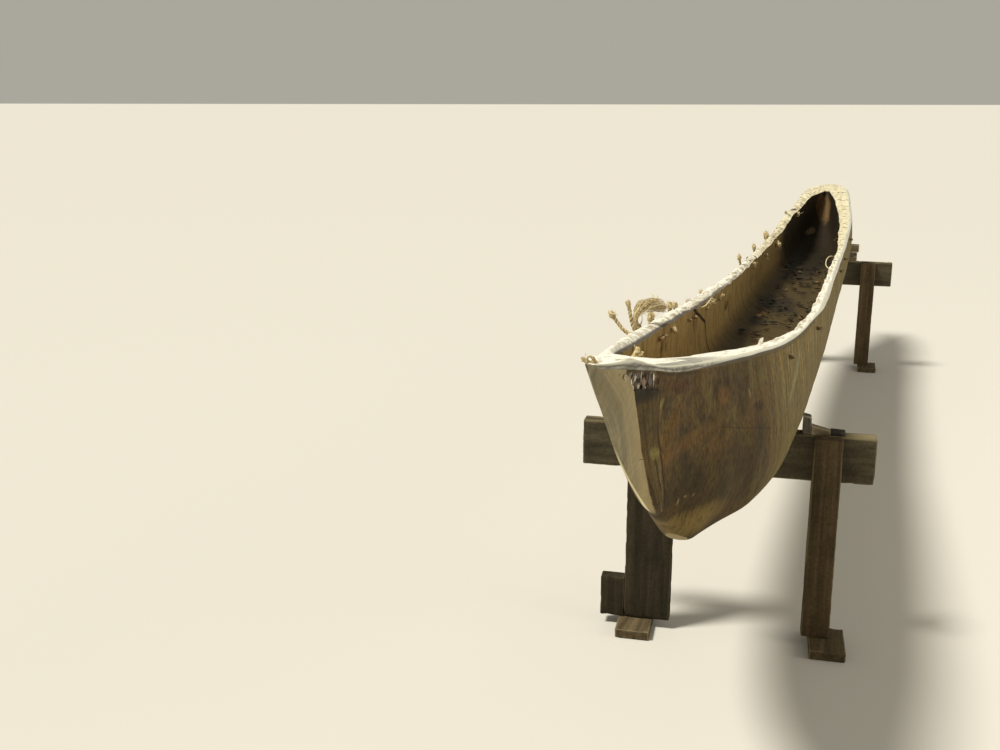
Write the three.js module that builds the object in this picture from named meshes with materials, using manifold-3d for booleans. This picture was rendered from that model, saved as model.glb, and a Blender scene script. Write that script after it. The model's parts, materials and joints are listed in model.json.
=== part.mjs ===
// Dugout hull of an outrigger canoe, stripped of its float, booms and washstrakes,
// as it stands ashore on two timber trestles. Millimetres, +X to the bow, +Y to port, +Z up.
// The origin is on the floor, under the middle of the hull's length.

import * as THREE from 'three';
import { mergeVertices } from 'three/addons/utils/BufferGeometryUtils.js';
import Module from 'manifold-3d';

const wasm = await Module();
wasm.setup();

// Driving dimensions
const SEAT_GAP = 0.3;
const HULL_SECTIONS = 48;
const HOLLOW_SECTIONS = 40;
const SECTION_STEPS = 9;
const CUT_HEADROOM = 80;

const BEAM = { length: 860, depth: 142, thickness: 50 };
const SOLE = { length: 165, width: 104, height: 28, behindPost: 32, offset: 34 };
const CLEAT = { width: 74, thickness: 42, height: 130 };

const LASHING_RADIUS = 5.6;
const LASHING_HOLE_RADIUS = 6.3;
const LASHING_DROP = 30;
const LASHING_LEAD = 10;
const HOLE_OVERRUN = 34;
const TUFT_STRETCH = 1.5;

// Stubs of cord in upright holes through the bow deck: above it, each leans by lean along X
const STUB_COLUMNS = ['name', 'x', 'y', 'depth', 'proud', 'lean', 'tuft'];
const STUBS = [
  ['lashing_bow_deck', 2600, -45, 44, 20, -6, 8],
  ['lashing_bow_tip', 3040, 0, 30, 16, 8, 6],
];

// Hull stations from bow to stern; each half section runs keel, bilge, side, rim
const STATION_COLUMNS = [
  'x', 'rimHalf', 'rimZ', 'sideHalf', 'sideZ', 'bilgeHalf', 'bilgeZ', 'keelHalf', 'keelZ',
  'rimY', 'keelY',
];
const STATIONS = [
  [3078, 8, 1199, 7, 1193, 5, 1187, 3, 1180, 0, 0],
  [3045, 19, 1192, 14, 1168, 8, 1150, 3, 1136, 3, 3],
  [2966, 46, 1179, 42, 1158, 33, 1130, 3, 1044, 5, 8],
  [2854, 76, 1146, 56, 1085, 30, 1012, 4, 945, 2, 10],
  [2701, 98, 1115, 61, 950, 23, 852, 6, 833, 0, 16],
  [2578, 119, 1095, 87, 900, 35, 785, 10, 751, 0, 25],
  [2463, 136, 1078, 117, 862, 54, 712, 22, 674, 0, 41],
  [2210, 171, 1043, 183, 815, 133, 692, 66, 661, 0, 34],
  [1930, 201, 1009, 211, 800, 174, 686, 104, 655, 0, 24],
  [1490, 218, 968, 227, 785, 190, 680, 120, 650, 0, 12],
  [860, 224, 923, 230, 770, 195, 675, 120, 642, 0, 5],
  [60, 212, 893, 222, 762, 190, 672, 115, 638, 0, 0],
  [-740, 206, 888, 215, 765, 184, 675, 110, 641, 0, 0],
  [-1440, 200, 900, 209, 775, 178, 680, 105, 645, 0, 0],
  [-1940, 190, 942, 197, 790, 165, 686, 92, 649, 0, 0],
  [-2270, 172, 965, 178, 815, 140, 694, 70, 651, 0, 0],
  [-2430, 160, 992, 152, 845, 106, 712, 44, 666, 0, 0],
  [-2560, 147, 1022, 130, 880, 80, 760, 20, 712, 0, 0],
  [-2760, 122, 1040, 98, 935, 56, 860, 10, 822, 0, 0],
  [-2900, 92, 1046, 72, 975, 40, 930, 7, 912, 0, 0],
  [-3010, 56, 1050, 44, 1010, 26, 985, 5, 975, 0, 0],
  [-3078, 14, 1052, 12, 1046, 9, 1040, 6, 1034, 0, 0],
];

// The hollow from bow to stern: its middle and half breadth at the rim, and its floor
const HOLLOW_COLUMNS = ['x', 'middleY', 'half', 'floorZ'];
const HOLLOW = [
  [2575, -52, 10, 1065],
  [2535, -50, 35, 980],
  [2450, -43, 69, 895],
  [2290, -34, 91, 815],
  [2150, -18, 117, 765],
  [1950, -5, 145, 722],
  [1730, 4, 167, 700],
  [1430, 6, 176, 691],
  [1080, 8, 180, 685],
  [400, 5, 176, 679],
  [-500, 1, 171, 678],
  [-900, 1, 168, 680],
  [-1330, -4, 157, 684],
  [-1785, -10, 139, 690],
  [-2250, -17, 110, 710],
  [-2450, -20, 84, 762],
  [-2600, -15, 46, 860],
  [-2680, -5, 22, 950],
  [-2715, 0, 8, 1030],
];

// Half section of the hollow, as shares of its half breadth and of its depth
const TROUGH_COLUMNS = ['out', 'up'];
const TROUGH = [
  [0.35, 0],
  [0.84, 0.13],
  [1.02, 0.46],
  [1, 1],
];

// A strip let into the port bow: its fore and aft edges and its flat back, from the top down.
// Above it the channel runs on into a broken notch under the rim.
const STRIP_COLUMNS = ['foreX', 'foreZ', 'aftX', 'aftZ', 'backY'];
const CHANNEL = [
  [2996, 1167, 2896, 1150, 31],
  [2961, 1135, 2863, 1111, 27],
  [2892, 1053, 2817, 1025, 22],
  [2790, 929, 2726, 905, 18],
  [2694, 836, 2673, 843, 14],
  [2652, 800, 2644, 806, 11],
];
const STRIP_START = 1;
const CHANNEL_REACH = 200;

// Lashing ends left in the rim: side is +1 to port and -1 to starboard. Outside the wall
// an end runs out, rises and sweeps forward to a tuft; inside it runs in and drops.
const LASHING_COLUMNS = ['name', 'side', 'x', 'out', 'rise', 'sweep', 'tuft', 'in', 'drop'];
const LASHINGS = [
  ['lashing_starboard_1', -1, 1765, 52, 66, 6, 9, 10, 4],
  ['lashing_starboard_2', -1, 1738, 14, 100, 8, 9, 12, 6],
  ['lashing_starboard_3', -1, 1690, 16, 76, -92, 15, 26, 10],
  ['lashing_starboard_4', -1, 1540, 18, 50, -16, 10, 12, 6],
  ['lashing_starboard_5', -1, 1250, 10, 60, -6, 10, 12, 6],
  ['lashing_starboard_6', -1, 1150, 10, 20, -8, 7, 24, 16],
  ['lashing_starboard_7', -1, 890, 10, 24, 6, 7, 20, 8],
  ['lashing_starboard_8', -1, 620, 12, 34, 6, 7, 22, 6],
  ['lashing_starboard_9', -1, -395, 24, 34, 8, 9, 28, 10],
  ['lashing_starboard_10', -1, -850, 18, 36, 10, 9, 30, 12],
  ['lashing_starboard_11', -1, -1300, 20, 36, -8, 9, 42, 6],
  ['lashing_starboard_12', -1, -2140, 12, 30, 6, 7, 30, 6],
  ['lashing_port_1', 1, 1950, 6, 4, 2, 0, 24, -14],
  ['lashing_port_2', 1, 1240, 6, 3, -2, 0, 12, 8],
  ['lashing_port_3', 1, -400, 6, 4, 2, 0, 22, 26],
  ['lashing_port_4', 1, -820, 6, 4, 2, 0, 20, 24],
  ['lashing_port_5', 1, -1500, 6, 3, 2, 0, 12, 6],
];

// One trestle has a cleat beside the foot of one of its posts
const TRESTLE_COLUMNS = ['label', 'x', 'yaw', 'cleat'];
const TRESTLES = [
  ['near', 1490, 6, 'starboard'],
  ['far', -2270, 3, ''],
];

// Posts stand against the bow face of each beam
const POST_COLUMNS = ['side', 'y', 'width', 'thickness'];
const POSTS = [
  ['port', 293, 82, 46],
  ['starboard', -214, 141, 42],
];

// Chocks on the beams beside the hull: x and y from the middle of the beam, lift above its top,
// and the two end heights, inboard end first.
const CHOCK_COLUMNS = ['name', 'trestle', 'x', 'y', 'lift', 'length', 'width', 'inner', 'outer'];
const CHOCKS = [
  ['chock_near_port', 'near', 4, 231, 0, 24, 36, 57, 51],
  ['wedge_near_port', 'near', 8, 271, 0, 54, 30, 27, 13],
  ['offcut_near_port', 'near', 0, 320, 0, 42, 42, 11, 9],
  ['wedge_near_starboard', 'near', 0, -262, 0, 90, 40, 42, 8],
  ['wedge_far_port', 'far', 2, 188, 0, 72, 42, 30, 30],
  ['spacer_far_port', 'far', 0, 196, 30, 56, 36, 26, 26],
  ['block_far_port', 'far', -4, 201, 56.3, 64, 40, 46, 44],
  ['wedge_far_starboard', 'far', 0, -222, 0, 88, 40, 40, 8],
];

function readTable(columns, rows) {
  return rows.map((row) => Object.fromEntries(row.map((value, i) => [columns[i], value])));
}

const stations = readTable(STATION_COLUMNS, STATIONS);
const hollow = readTable(HOLLOW_COLUMNS, HOLLOW);
const trough = readTable(TROUGH_COLUMNS, TROUGH);
const channel = readTable(STRIP_COLUMNS, CHANNEL);

// Slope at the middle one of three rows, level where the column turns
function slopeAt(before, at, after, name) {
  if (before === at || at === after) return (after[name] - before[name]) / (after.x - before.x);
  const left = (at[name] - before[name]) / (at.x - before.x);
  const right = (after[name] - at[name]) / (after.x - at.x);
  if (left * right <= 0) return 0;
  return (2 * left * right) / (left + right);
}

// Each column of a table is a smooth curve along the hull
function columnAt(table, name, x) {
  const last = table.length - 1;
  const found = table.findIndex((row, k) => k < last && x <= row.x && x >= table[k + 1].x);
  const i = found >= 0 ? found : (x > table[0].x ? 0 : last - 1);
  const b = table[i];
  const c = table[i + 1];
  const span = c.x - b.x;
  const t = (x - b.x) / span;
  const slopeIn = slopeAt(table[Math.max(i - 1, 0)], b, c, name) * span;
  const slopeOut = slopeAt(b, c, table[Math.min(i + 2, last)], name) * span;
  const rise = t * t * (3 - 2 * t);
  return b[name] * (1 - rise) + c[name] * rise
    + t * (1 - t) * ((1 - t) * slopeIn - t * slopeOut);
}

function rowAt(table, x) {
  const row = { x };
  for (const name of Object.keys(table[0]).slice(1)) row[name] = columnAt(table, name, x);
  return row;
}

// Half section from the keel to the rim as [half breadth, height]
function halfSection(station, steps) {
  const curve = new THREE.SplineCurve([
    new THREE.Vector2(station.keelHalf, station.keelZ),
    new THREE.Vector2(station.bilgeHalf, station.bilgeZ),
    new THREE.Vector2(station.sideHalf, station.sideZ),
    new THREE.Vector2(station.rimHalf, station.rimZ),
  ]);
  return curve.getPoints(steps).map((p) => [p.x, p.y]);
}

// A section leans from rimY at the rim to keelY at the keel
function lean(station, z) {
  const share = (station.rimZ - z) / (station.rimZ - station.keelZ);
  return station.rimY + (station.keelY - station.rimY) * share;
}

// Breadth of the outer face at a height, from the middle line
function outerHalf(x, z) {
  const section = halfSection(rowAt(stations, x), SECTION_STEPS);
  const i = Math.max(1, section.findIndex((point) => point[1] >= z));
  const [y0, z0] = section[i - 1];
  const [y1, z1] = section[i];
  return y0 + (y1 - y0) * (z - z0) / (z1 - z0);
}

// Distance of the hollow's edge from the middle line, on one side
function innerHalf(x, side) {
  return columnAt(hollow, 'half', x) + side * columnAt(hollow, 'middleY', x);
}

function toSolid(geometry) {
  const bare = new THREE.BufferGeometry();
  bare.setAttribute('position', geometry.getAttribute('position').clone());
  if (geometry.index) bare.setIndex(geometry.index.clone());
  const merged = mergeVertices(bare, 1e-4);
  return new wasm.Manifold(new wasm.Mesh({
    numProp: 3,
    vertProperties: new Float32Array(merged.getAttribute('position').array),
    triVerts: new Uint32Array(merged.index.array),
  }));
}

function toGeometry(solid) {
  const mesh = solid.getMesh();
  const geometry = new THREE.BufferGeometry();
  geometry.setAttribute('position', new THREE.BufferAttribute(new Float32Array(mesh.vertProperties), 3));
  geometry.setIndex(new THREE.BufferAttribute(new Uint32Array(mesh.triVerts), 1));
  geometry.computeVertexNormals();
  return geometry;
}

// Closed skin over a list of equal rings, with a fan on each end
function loftRings(rings) {
  const count = rings[0].length;
  const index = [];
  for (let r = 0; r + 1 < rings.length; r += 1) {
    for (let i = 0; i < count; i += 1) {
      const a = r * count + i;
      const b = r * count + (i + 1) % count;
      index.push(a, b + count, b, a, a + count, b + count);
    }
  }
  const last = (rings.length - 1) * count;
  for (let i = 1; i + 1 < count; i += 1) {
    index.push(0, i, i + 1);
    index.push(last, last + i + 1, last + i);
  }
  const geometry = new THREE.BufferGeometry();
  geometry.setAttribute('position', new THREE.Float32BufferAttribute(rings.flat(2), 3));
  geometry.setIndex(index);
  return geometry;
}

// Places from fore to aft, closest together at the two ends
function sectionPlaces(fore, aft, count) {
  const middle = (fore + aft) / 2;
  const half = (fore - aft) / 2;
  return Array.from({ length: count + 1 }, (_, i) => {
    const share = i / count;
    return middle + half * (0.55 * Math.cos(Math.PI * share) + 0.45 * (1 - 2 * share));
  });
}

function outerSkin() {
  const rings = sectionPlaces(stations[0].x, stations.at(-1).x, HULL_SECTIONS).map((x) => {
    const station = rowAt(stations, x);
    const half = halfSection(station, SECTION_STEPS);
    const port = half.map(([y, z]) => [x, lean(station, z) + y, z]);
    const starboard = half.map(([y, z]) => [x, lean(station, z) - y, z]).reverse();
    return [...starboard, ...port];
  });
  return toSolid(loftRings(rings));
}

// The hollow is a round-bottomed trough whose floor rises steeply at each end
function hollowTool() {
  const rings = sectionPlaces(hollow[0].x, hollow.at(-1).x, HOLLOW_SECTIONS).map((x) => {
    const row = rowAt(hollow, x);
    const rimZ = columnAt(stations, 'rimZ', x);
    const depth = rimZ - row.floorZ;
    const curve = new THREE.SplineCurve(trough.map((point) => (
      new THREE.Vector2(point.out * row.half, row.floorZ + point.up * depth))));
    const half = curve.getPoints(SECTION_STEPS).map((p) => [p.x, p.y]);
    half.push([row.half, rimZ + CUT_HEADROOM]);
    const port = half.map(([y, z]) => [x, row.middleY + y, z]);
    const starboard = half.map(([y, z]) => [x, row.middleY - y, z]).reverse();
    return [...starboard, ...port];
  });
  return toSolid(loftRings(rings));
}

// Block from the channel's sloping back to well outside the hull, grown by gap all round
function channelBlock(rows, gap) {
  const rings = rows.map((row, i) => {
    const lift = i === 0 ? gap : (i === rows.length - 1 ? -gap : 0);
    const fore = row.foreX + gap;
    const aft = row.aftX - gap;
    const back = row.backY - gap;
    return [
      [fore, back, row.foreZ + lift],
      [fore, CHANNEL_REACH, row.foreZ + lift],
      [aft, CHANNEL_REACH, row.aftZ + lift],
      [aft, back, row.aftZ + lift],
    ];
  });
  return toSolid(loftRings(rings));
}

// A lashing runs straight through its hole, then bends at both faces
function lashingPath(lashing) {
  const z = columnAt(stations, 'rimZ', lashing.x) - LASHING_DROP;
  const face = outerHalf(lashing.x, z);
  const inner = innerHalf(lashing.x, lashing.side);
  const point = (y, dx, dz) => new THREE.Vector3(lashing.x + dx, lashing.side * y, z + dz);
  return new THREE.CatmullRomCurve3([
    point(inner - LASHING_LEAD - lashing.in, 0, -lashing.drop),
    point(inner - LASHING_LEAD, 0, 0),
    point(inner, 0, 0),
    point(face, 0, 0),
    point(face + LASHING_LEAD, 0, 0),
    point(face + LASHING_LEAD + lashing.out * 0.5, lashing.sweep * 0.35, lashing.rise * 0.3),
    point(face + LASHING_LEAD + lashing.out, lashing.sweep, lashing.rise),
  ]);
}

function roundSection(radius, sides) {
  const turns = Array.from({ length: sides }, (_, i) => 2 * Math.PI * i / sides);
  return new THREE.Shape(turns.map((turn) => (
    new THREE.Vector2(radius * Math.cos(turn), radius * Math.sin(turn)))));
}

function cordSolid(path) {
  return toSolid(new THREE.ExtrudeGeometry(roundSection(LASHING_RADIUS, 8), {
    steps: 12,
    bevelEnabled: false,
    extrudePath: path,
  }));
}

// A frayed end: an egg along the path's last direction, joined to the cord
function cordGeometry(path, tuft) {
  const cord = cordSolid(path);
  if (tuft === 0) return toGeometry(cord);
  const egg = new THREE.SphereGeometry(tuft, 8, 6);
  egg.scale(1, TUFT_STRETCH, 1);
  const turn = new THREE.Quaternion();
  turn.setFromUnitVectors(new THREE.Vector3(0, 1, 0), path.getTangent(1));
  egg.applyQuaternion(turn);
  egg.translate(...path.getPoint(1).toArray());
  return toGeometry(cord.add(toSolid(egg)));
}

// Drill along Y, its middle at a point
function crossDrill(radius, length, x, y, z) {
  const geometry = new THREE.CylinderGeometry(radius, radius, length, 10);
  geometry.translate(x, y, z);
  return toSolid(geometry);
}

function lashingHole(lashing) {
  const z = columnAt(stations, 'rimZ', lashing.x) - LASHING_DROP;
  const face = outerHalf(lashing.x, z);
  const inner = innerHalf(lashing.x, lashing.side);
  const middle = lashing.side * (face + inner) / 2;
  return crossDrill(LASHING_HOLE_RADIUS, face - inner + HOLE_OVERRUN, lashing.x, middle, z);
}

function stubHole(stub) {
  const geometry = new THREE.CylinderGeometry(LASHING_HOLE_RADIUS, LASHING_HOLE_RADIUS, 2 * stub.depth, 10);
  geometry.rotateX(Math.PI / 2);
  geometry.translate(stub.x, stub.y, columnAt(stations, 'rimZ', stub.x));
  return toSolid(geometry);
}

function stubPath(stub) {
  const deck = columnAt(stations, 'rimZ', stub.x);
  const foot = deck - stub.depth + SEAT_GAP;
  return new THREE.CatmullRomCurve3([
    new THREE.Vector3(stub.x, stub.y, foot),
    new THREE.Vector3(stub.x, stub.y, deck - LASHING_LEAD),
    new THREE.Vector3(stub.x, stub.y, deck + 2),
    new THREE.Vector3(stub.x, stub.y, deck + 8),
    new THREE.Vector3(stub.x + stub.lean, stub.y, deck + stub.proud),
  ]);
}

function timber(length, width, height) {
  return new THREE.BoxGeometry(length, width, height);
}

// A chock tapers from its inboard end to its outboard end, standing on z = 0
function chockGeometry(chock) {
  const inboard = -Math.sign(chock.y) * chock.length / 2;
  const shape = new THREE.Shape([
    new THREE.Vector2(inboard, 0),
    new THREE.Vector2(inboard, chock.inner),
    new THREE.Vector2(-inboard, chock.outer),
    new THREE.Vector2(-inboard, 0),
  ]);
  const geometry = new THREE.ExtrudeGeometry(shape, { depth: chock.width, bevelEnabled: false });
  geometry.rotateX(Math.PI / 2);
  geometry.rotateZ(Math.PI / 2);
  geometry.translate(-chock.width / 2, 0, 0);
  return geometry;
}

const WOOD = {
  hull: new THREE.MeshStandardMaterial({ color: 0x6b5a3a, roughness: 0.85, metalness: 0 }),
  strip: new THREE.MeshStandardMaterial({ color: 0x564427, roughness: 0.85, metalness: 0 }),
  timber: new THREE.MeshStandardMaterial({ color: 0x5d4d38, roughness: 0.9, metalness: 0 }),
  chock: new THREE.MeshStandardMaterial({ color: 0x9a8a6c, roughness: 0.9, metalness: 0 }),
  sennit: new THREE.MeshStandardMaterial({ color: 0xb79f6e, roughness: 0.95, metalness: 0 }),
};

function part(name, geometry, material, place = [0, 0, 0]) {
  const mesh = new THREE.Mesh(geometry, material.clone());
  mesh.name = name;
  mesh.position.set(...place);
  return mesh;
}

// The hull's lowest point over a beam, less the seat gap
function beamTop(hull, trestle) {
  const slab = timber(BEAM.thickness, BEAM.length, BEAM.length);
  slab.rotateZ(THREE.MathUtils.degToRad(trestle.yaw));
  slab.translate(trestle.x, 0, BEAM.length);
  const over = toGeometry(hull.intersect(toSolid(slab)));
  over.computeBoundingBox();
  return over.boundingBox.min.z - SEAT_GAP;
}

function trestleGroup(trestle, top, chocks) {
  const group = new THREE.Group();
  group.position.set(trestle.x, 0, 0);
  group.rotation.z = THREE.MathUtils.degToRad(trestle.yaw);
  const beam = timber(BEAM.thickness, BEAM.length, BEAM.depth);
  group.add(part(`beam_${trestle.label}`, beam, WOOD.timber, [0, 0, top - BEAM.depth / 2]));
  for (const post of readTable(POST_COLUMNS, POSTS)) {
    const side = Math.sign(post.y);
    const height = top - SOLE.height - SEAT_GAP;
    const x = (BEAM.thickness + post.thickness) / 2 + SEAT_GAP;
    const front = x + post.thickness / 2;
    const soleX = x - post.thickness / 2 - SOLE.behindPost + SOLE.length / 2;
    const postWood = timber(post.thickness, post.width, height);
    const soleWood = timber(SOLE.length, SOLE.width, SOLE.height);
    const soleY = post.y + side * SOLE.offset;
    const label = `${post.side}_${trestle.label}`;
    group.add(part(`post_${label}`, postWood, WOOD.timber, [x, post.y, top - height / 2]));
    group.add(part(`sole_${label}`, soleWood, WOOD.timber, [soleX, soleY, SOLE.height / 2]));
    if (trestle.cleat === post.side) {
      const cleatWood = timber(CLEAT.thickness, CLEAT.width, CLEAT.height);
      const cleatY = post.y + side * ((post.width + CLEAT.width) / 2 + SEAT_GAP);
      const cleatZ = SOLE.height + SEAT_GAP + CLEAT.height / 2;
      const place = [front - CLEAT.thickness / 2, cleatY, cleatZ];
      group.add(part(`cleat_${label}`, cleatWood, WOOD.timber, place));
    }
  }
  for (const chock of chocks) {
    const z = top + SEAT_GAP + (chock.lift > 0 ? chock.lift + SEAT_GAP : 0);
    group.add(part(chock.name, chockGeometry(chock), WOOD.chock, [chock.x, chock.y, z]));
  }
  return group;
}

// Hull with its hollow, channel and holes
const lashings = readTable(LASHING_COLUMNS, LASHINGS);
const stubs = readTable(STUB_COLUMNS, STUBS);
const skin = outerSkin();
const strip = skin.intersect(channelBlock(channel.slice(STRIP_START), 0));
let hull = skin.subtract(hollowTool()).subtract(channelBlock(channel, SEAT_GAP));
for (const lashing of lashings) hull = hull.subtract(lashingHole(lashing));
for (const stub of stubs) hull = hull.subtract(stubHole(stub));

const canoe = new THREE.Group();
canoe.name = 'outrigger_canoe_hull_on_trestles';
canoe.add(part('hull', toGeometry(hull), WOOD.hull));
canoe.add(part('bow_strip', toGeometry(strip), WOOD.strip));
for (const lashing of lashings) {
  canoe.add(part(lashing.name, cordGeometry(lashingPath(lashing), lashing.tuft), WOOD.sennit));
}
for (const stub of stubs) {
  canoe.add(part(stub.name, cordGeometry(stubPath(stub), stub.tuft), WOOD.sennit));
}
const chocks = readTable(CHOCK_COLUMNS, CHOCKS);
for (const trestle of readTable(TRESTLE_COLUMNS, TRESTLES)) {
  const own = chocks.filter((chock) => chock.trestle === trestle.label);
  canoe.add(trestleGroup(trestle, beamTop(hull, trestle), own));
}

export default canoe;
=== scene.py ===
"""Old dugout outrigger-canoe hull on two timber trestles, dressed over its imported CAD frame.

Everything is in metres: +X to the bow, +Y to port, +Z up, the floor at zero.
"""

from __future__ import annotations

import json
import logging
import math
from dataclasses import dataclass
from enum import Enum
from functools import reduce
from typing import Any, Sequence

import bpy  # noqa: E402
import numpy as np  # noqa: E402
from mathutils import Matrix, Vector  # noqa: E402

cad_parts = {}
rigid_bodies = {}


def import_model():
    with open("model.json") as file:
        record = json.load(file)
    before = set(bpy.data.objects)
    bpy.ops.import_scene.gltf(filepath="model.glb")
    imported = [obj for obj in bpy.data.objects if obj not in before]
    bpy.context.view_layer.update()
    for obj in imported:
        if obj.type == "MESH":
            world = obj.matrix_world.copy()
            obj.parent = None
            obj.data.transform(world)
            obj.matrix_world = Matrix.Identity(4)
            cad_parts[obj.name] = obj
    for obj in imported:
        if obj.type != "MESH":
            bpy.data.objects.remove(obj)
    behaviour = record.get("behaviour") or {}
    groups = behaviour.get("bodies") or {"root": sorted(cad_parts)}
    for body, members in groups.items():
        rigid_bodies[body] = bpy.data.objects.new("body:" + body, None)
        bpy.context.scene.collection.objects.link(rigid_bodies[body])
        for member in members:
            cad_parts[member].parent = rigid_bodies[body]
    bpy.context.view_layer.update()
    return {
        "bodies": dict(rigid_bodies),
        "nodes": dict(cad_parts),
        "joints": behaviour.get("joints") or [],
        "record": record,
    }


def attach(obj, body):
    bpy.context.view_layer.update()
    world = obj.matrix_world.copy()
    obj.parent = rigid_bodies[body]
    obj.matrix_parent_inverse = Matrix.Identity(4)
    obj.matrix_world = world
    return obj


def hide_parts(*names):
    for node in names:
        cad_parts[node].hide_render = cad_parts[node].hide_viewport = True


Array = np.ndarray
Colour = tuple[float, float, float]
Place = tuple[float, float, float]
Socket = bpy.types.NodeSocket
Material = bpy.types.Material

LOG = logging.getLogger("canoe")
SMOOTH_ANGLE = math.radians(50)
WHITE: Colour = (1.0, 1.0, 1.0)
# A spot's edge: how much noise moves it, and where its share falls from 1 to 0
SPOT_RAGGED = 3.6
SPOT_EDGE = (2.75, 1.85)

# Outer sections from bow to stern, as pairs of half breadth and height from the rim down to the keel,
# and how far the rim and the keel lie to port of the middle line
STATION_COLUMNS = (
    "x", "rim_half", "rim_z", "side_half", "side_z", "bilge_half", "bilge_z",
    "keel_half", "keel_z", "rim_y", "keel_y",
)
STATIONS = (
    (3.078, 0.008, 1.199, 0.007, 1.193, 0.005, 1.187, 0.003, 1.18, 0.0, 0.0),
    (3.045, 0.019, 1.192, 0.014, 1.168, 0.008, 1.15, 0.003, 1.136, 0.003, 0.003),
    (2.966, 0.046, 1.179, 0.042, 1.158, 0.033, 1.13, 0.003, 1.044, 0.005, 0.008),
    (2.854, 0.076, 1.146, 0.056, 1.085, 0.03, 1.012, 0.004, 0.945, 0.002, 0.01),
    (2.701, 0.098, 1.115, 0.061, 0.95, 0.023, 0.852, 0.006, 0.833, 0.0, 0.016),
    (2.578, 0.119, 1.095, 0.087, 0.9, 0.035, 0.785, 0.01, 0.751, 0.0, 0.025),
    (2.463, 0.136, 1.078, 0.117, 0.862, 0.054, 0.712, 0.022, 0.674, 0.0, 0.041),
    (2.21, 0.171, 1.043, 0.183, 0.815, 0.133, 0.692, 0.066, 0.661, 0.0, 0.034),
    (1.93, 0.201, 1.009, 0.211, 0.8, 0.174, 0.686, 0.104, 0.655, 0.0, 0.024),
    (1.49, 0.218, 0.968, 0.227, 0.785, 0.19, 0.68, 0.12, 0.65, 0.0, 0.012),
    (0.86, 0.224, 0.923, 0.23, 0.77, 0.195, 0.675, 0.12, 0.642, 0.0, 0.005),
    (0.06, 0.212, 0.893, 0.222, 0.762, 0.19, 0.672, 0.115, 0.638, 0.0, 0.0),
    (-0.74, 0.206, 0.888, 0.215, 0.765, 0.184, 0.675, 0.11, 0.641, 0.0, 0.0),
    (-1.44, 0.2, 0.9, 0.209, 0.775, 0.178, 0.68, 0.105, 0.645, 0.0, 0.0),
    (-1.94, 0.19, 0.942, 0.197, 0.79, 0.165, 0.686, 0.092, 0.649, 0.0, 0.0),
    (-2.27, 0.172, 0.965, 0.178, 0.815, 0.14, 0.694, 0.07, 0.651, 0.0, 0.0),
    (-2.43, 0.16, 0.992, 0.152, 0.845, 0.106, 0.712, 0.044, 0.666, 0.0, 0.0),
    (-2.56, 0.147, 1.022, 0.13, 0.88, 0.08, 0.76, 0.02, 0.712, 0.0, 0.0),
    (-2.76, 0.122, 1.04, 0.098, 0.935, 0.056, 0.86, 0.01, 0.822, 0.0, 0.0),
    (-2.9, 0.092, 1.046, 0.072, 0.975, 0.04, 0.93, 0.007, 0.912, 0.0, 0.0),
    (-3.01, 0.056, 1.05, 0.044, 1.01, 0.026, 0.985, 0.005, 0.975, 0.0, 0.0),
    (-3.078, 0.014, 1.052, 0.012, 1.046, 0.009, 1.04, 0.006, 1.034, 0.0, 0.0),
)

# The hollow from bow to stern: its middle and half breadth at the rim, and its floor
HOLLOW_COLUMNS = ("x", "middle_y", "half", "floor_z")
HOLLOW = (
    (2.575, -0.052, 0.01, 1.065),
    (2.535, -0.05, 0.035, 0.98),
    (2.45, -0.043, 0.069, 0.895),
    (2.29, -0.034, 0.091, 0.815),
    (2.15, -0.018, 0.117, 0.765),
    (1.95, -0.005, 0.145, 0.722),
    (1.73, 0.004, 0.167, 0.7),
    (1.43, 0.006, 0.176, 0.691),
    (1.08, 0.008, 0.18, 0.685),
    (0.4, 0.005, 0.176, 0.679),
    (-0.5, 0.001, 0.171, 0.678),
    (-0.9, 0.001, 0.168, 0.68),
    (-1.33, -0.004, 0.157, 0.684),
    (-1.785, -0.01, 0.139, 0.69),
    (-2.25, -0.017, 0.11, 0.71),
    (-2.45, -0.02, 0.084, 0.762),
    (-2.6, -0.015, 0.046, 0.86),
    (-2.68, -0.005, 0.022, 0.95),
    (-2.715, 0.0, 0.008, 1.03),
)
# Half section of the hollow, as shares of its half breadth and of its depth
TROUGH = ((0.35, 0.0), (0.84, 0.13), (1.02, 0.46), (1.0, 1.0))

# The strip let into the port bow from the notch above it down: x and z of its fore edge, then of its aft
STRIP = (
    (3.002, 1.173, 2.904, 1.154),
    (2.961, 1.135, 2.863, 1.111),
    (2.892, 1.053, 2.817, 1.025),
    (2.79, 0.929, 2.726, 0.905),
    (2.694, 0.836, 2.673, 0.843),
    (2.652, 0.8, 2.644, 0.806),
)
# The ridge between the stem's facet and the side, from over the rim down to the heel
RIDGE = (
    (3.06, 1.225), (2.996, 1.17), (2.961, 1.135), (2.92, 1.088), (2.884, 1.042), (2.848, 0.992),
    (2.817, 0.958), (2.792, 0.928), (2.746, 0.876), (2.705, 0.839), (2.642, 0.793), (2.581, 0.751),
    (2.534, 0.715), (2.5, 0.695),
)
# A split in the starboard wall of the hollow, from the rim down
WALL_CRACK = ((1.15, 0.94), (0.856, 0.835), (0.842, 0.8), (0.85, 0.72))

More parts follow.
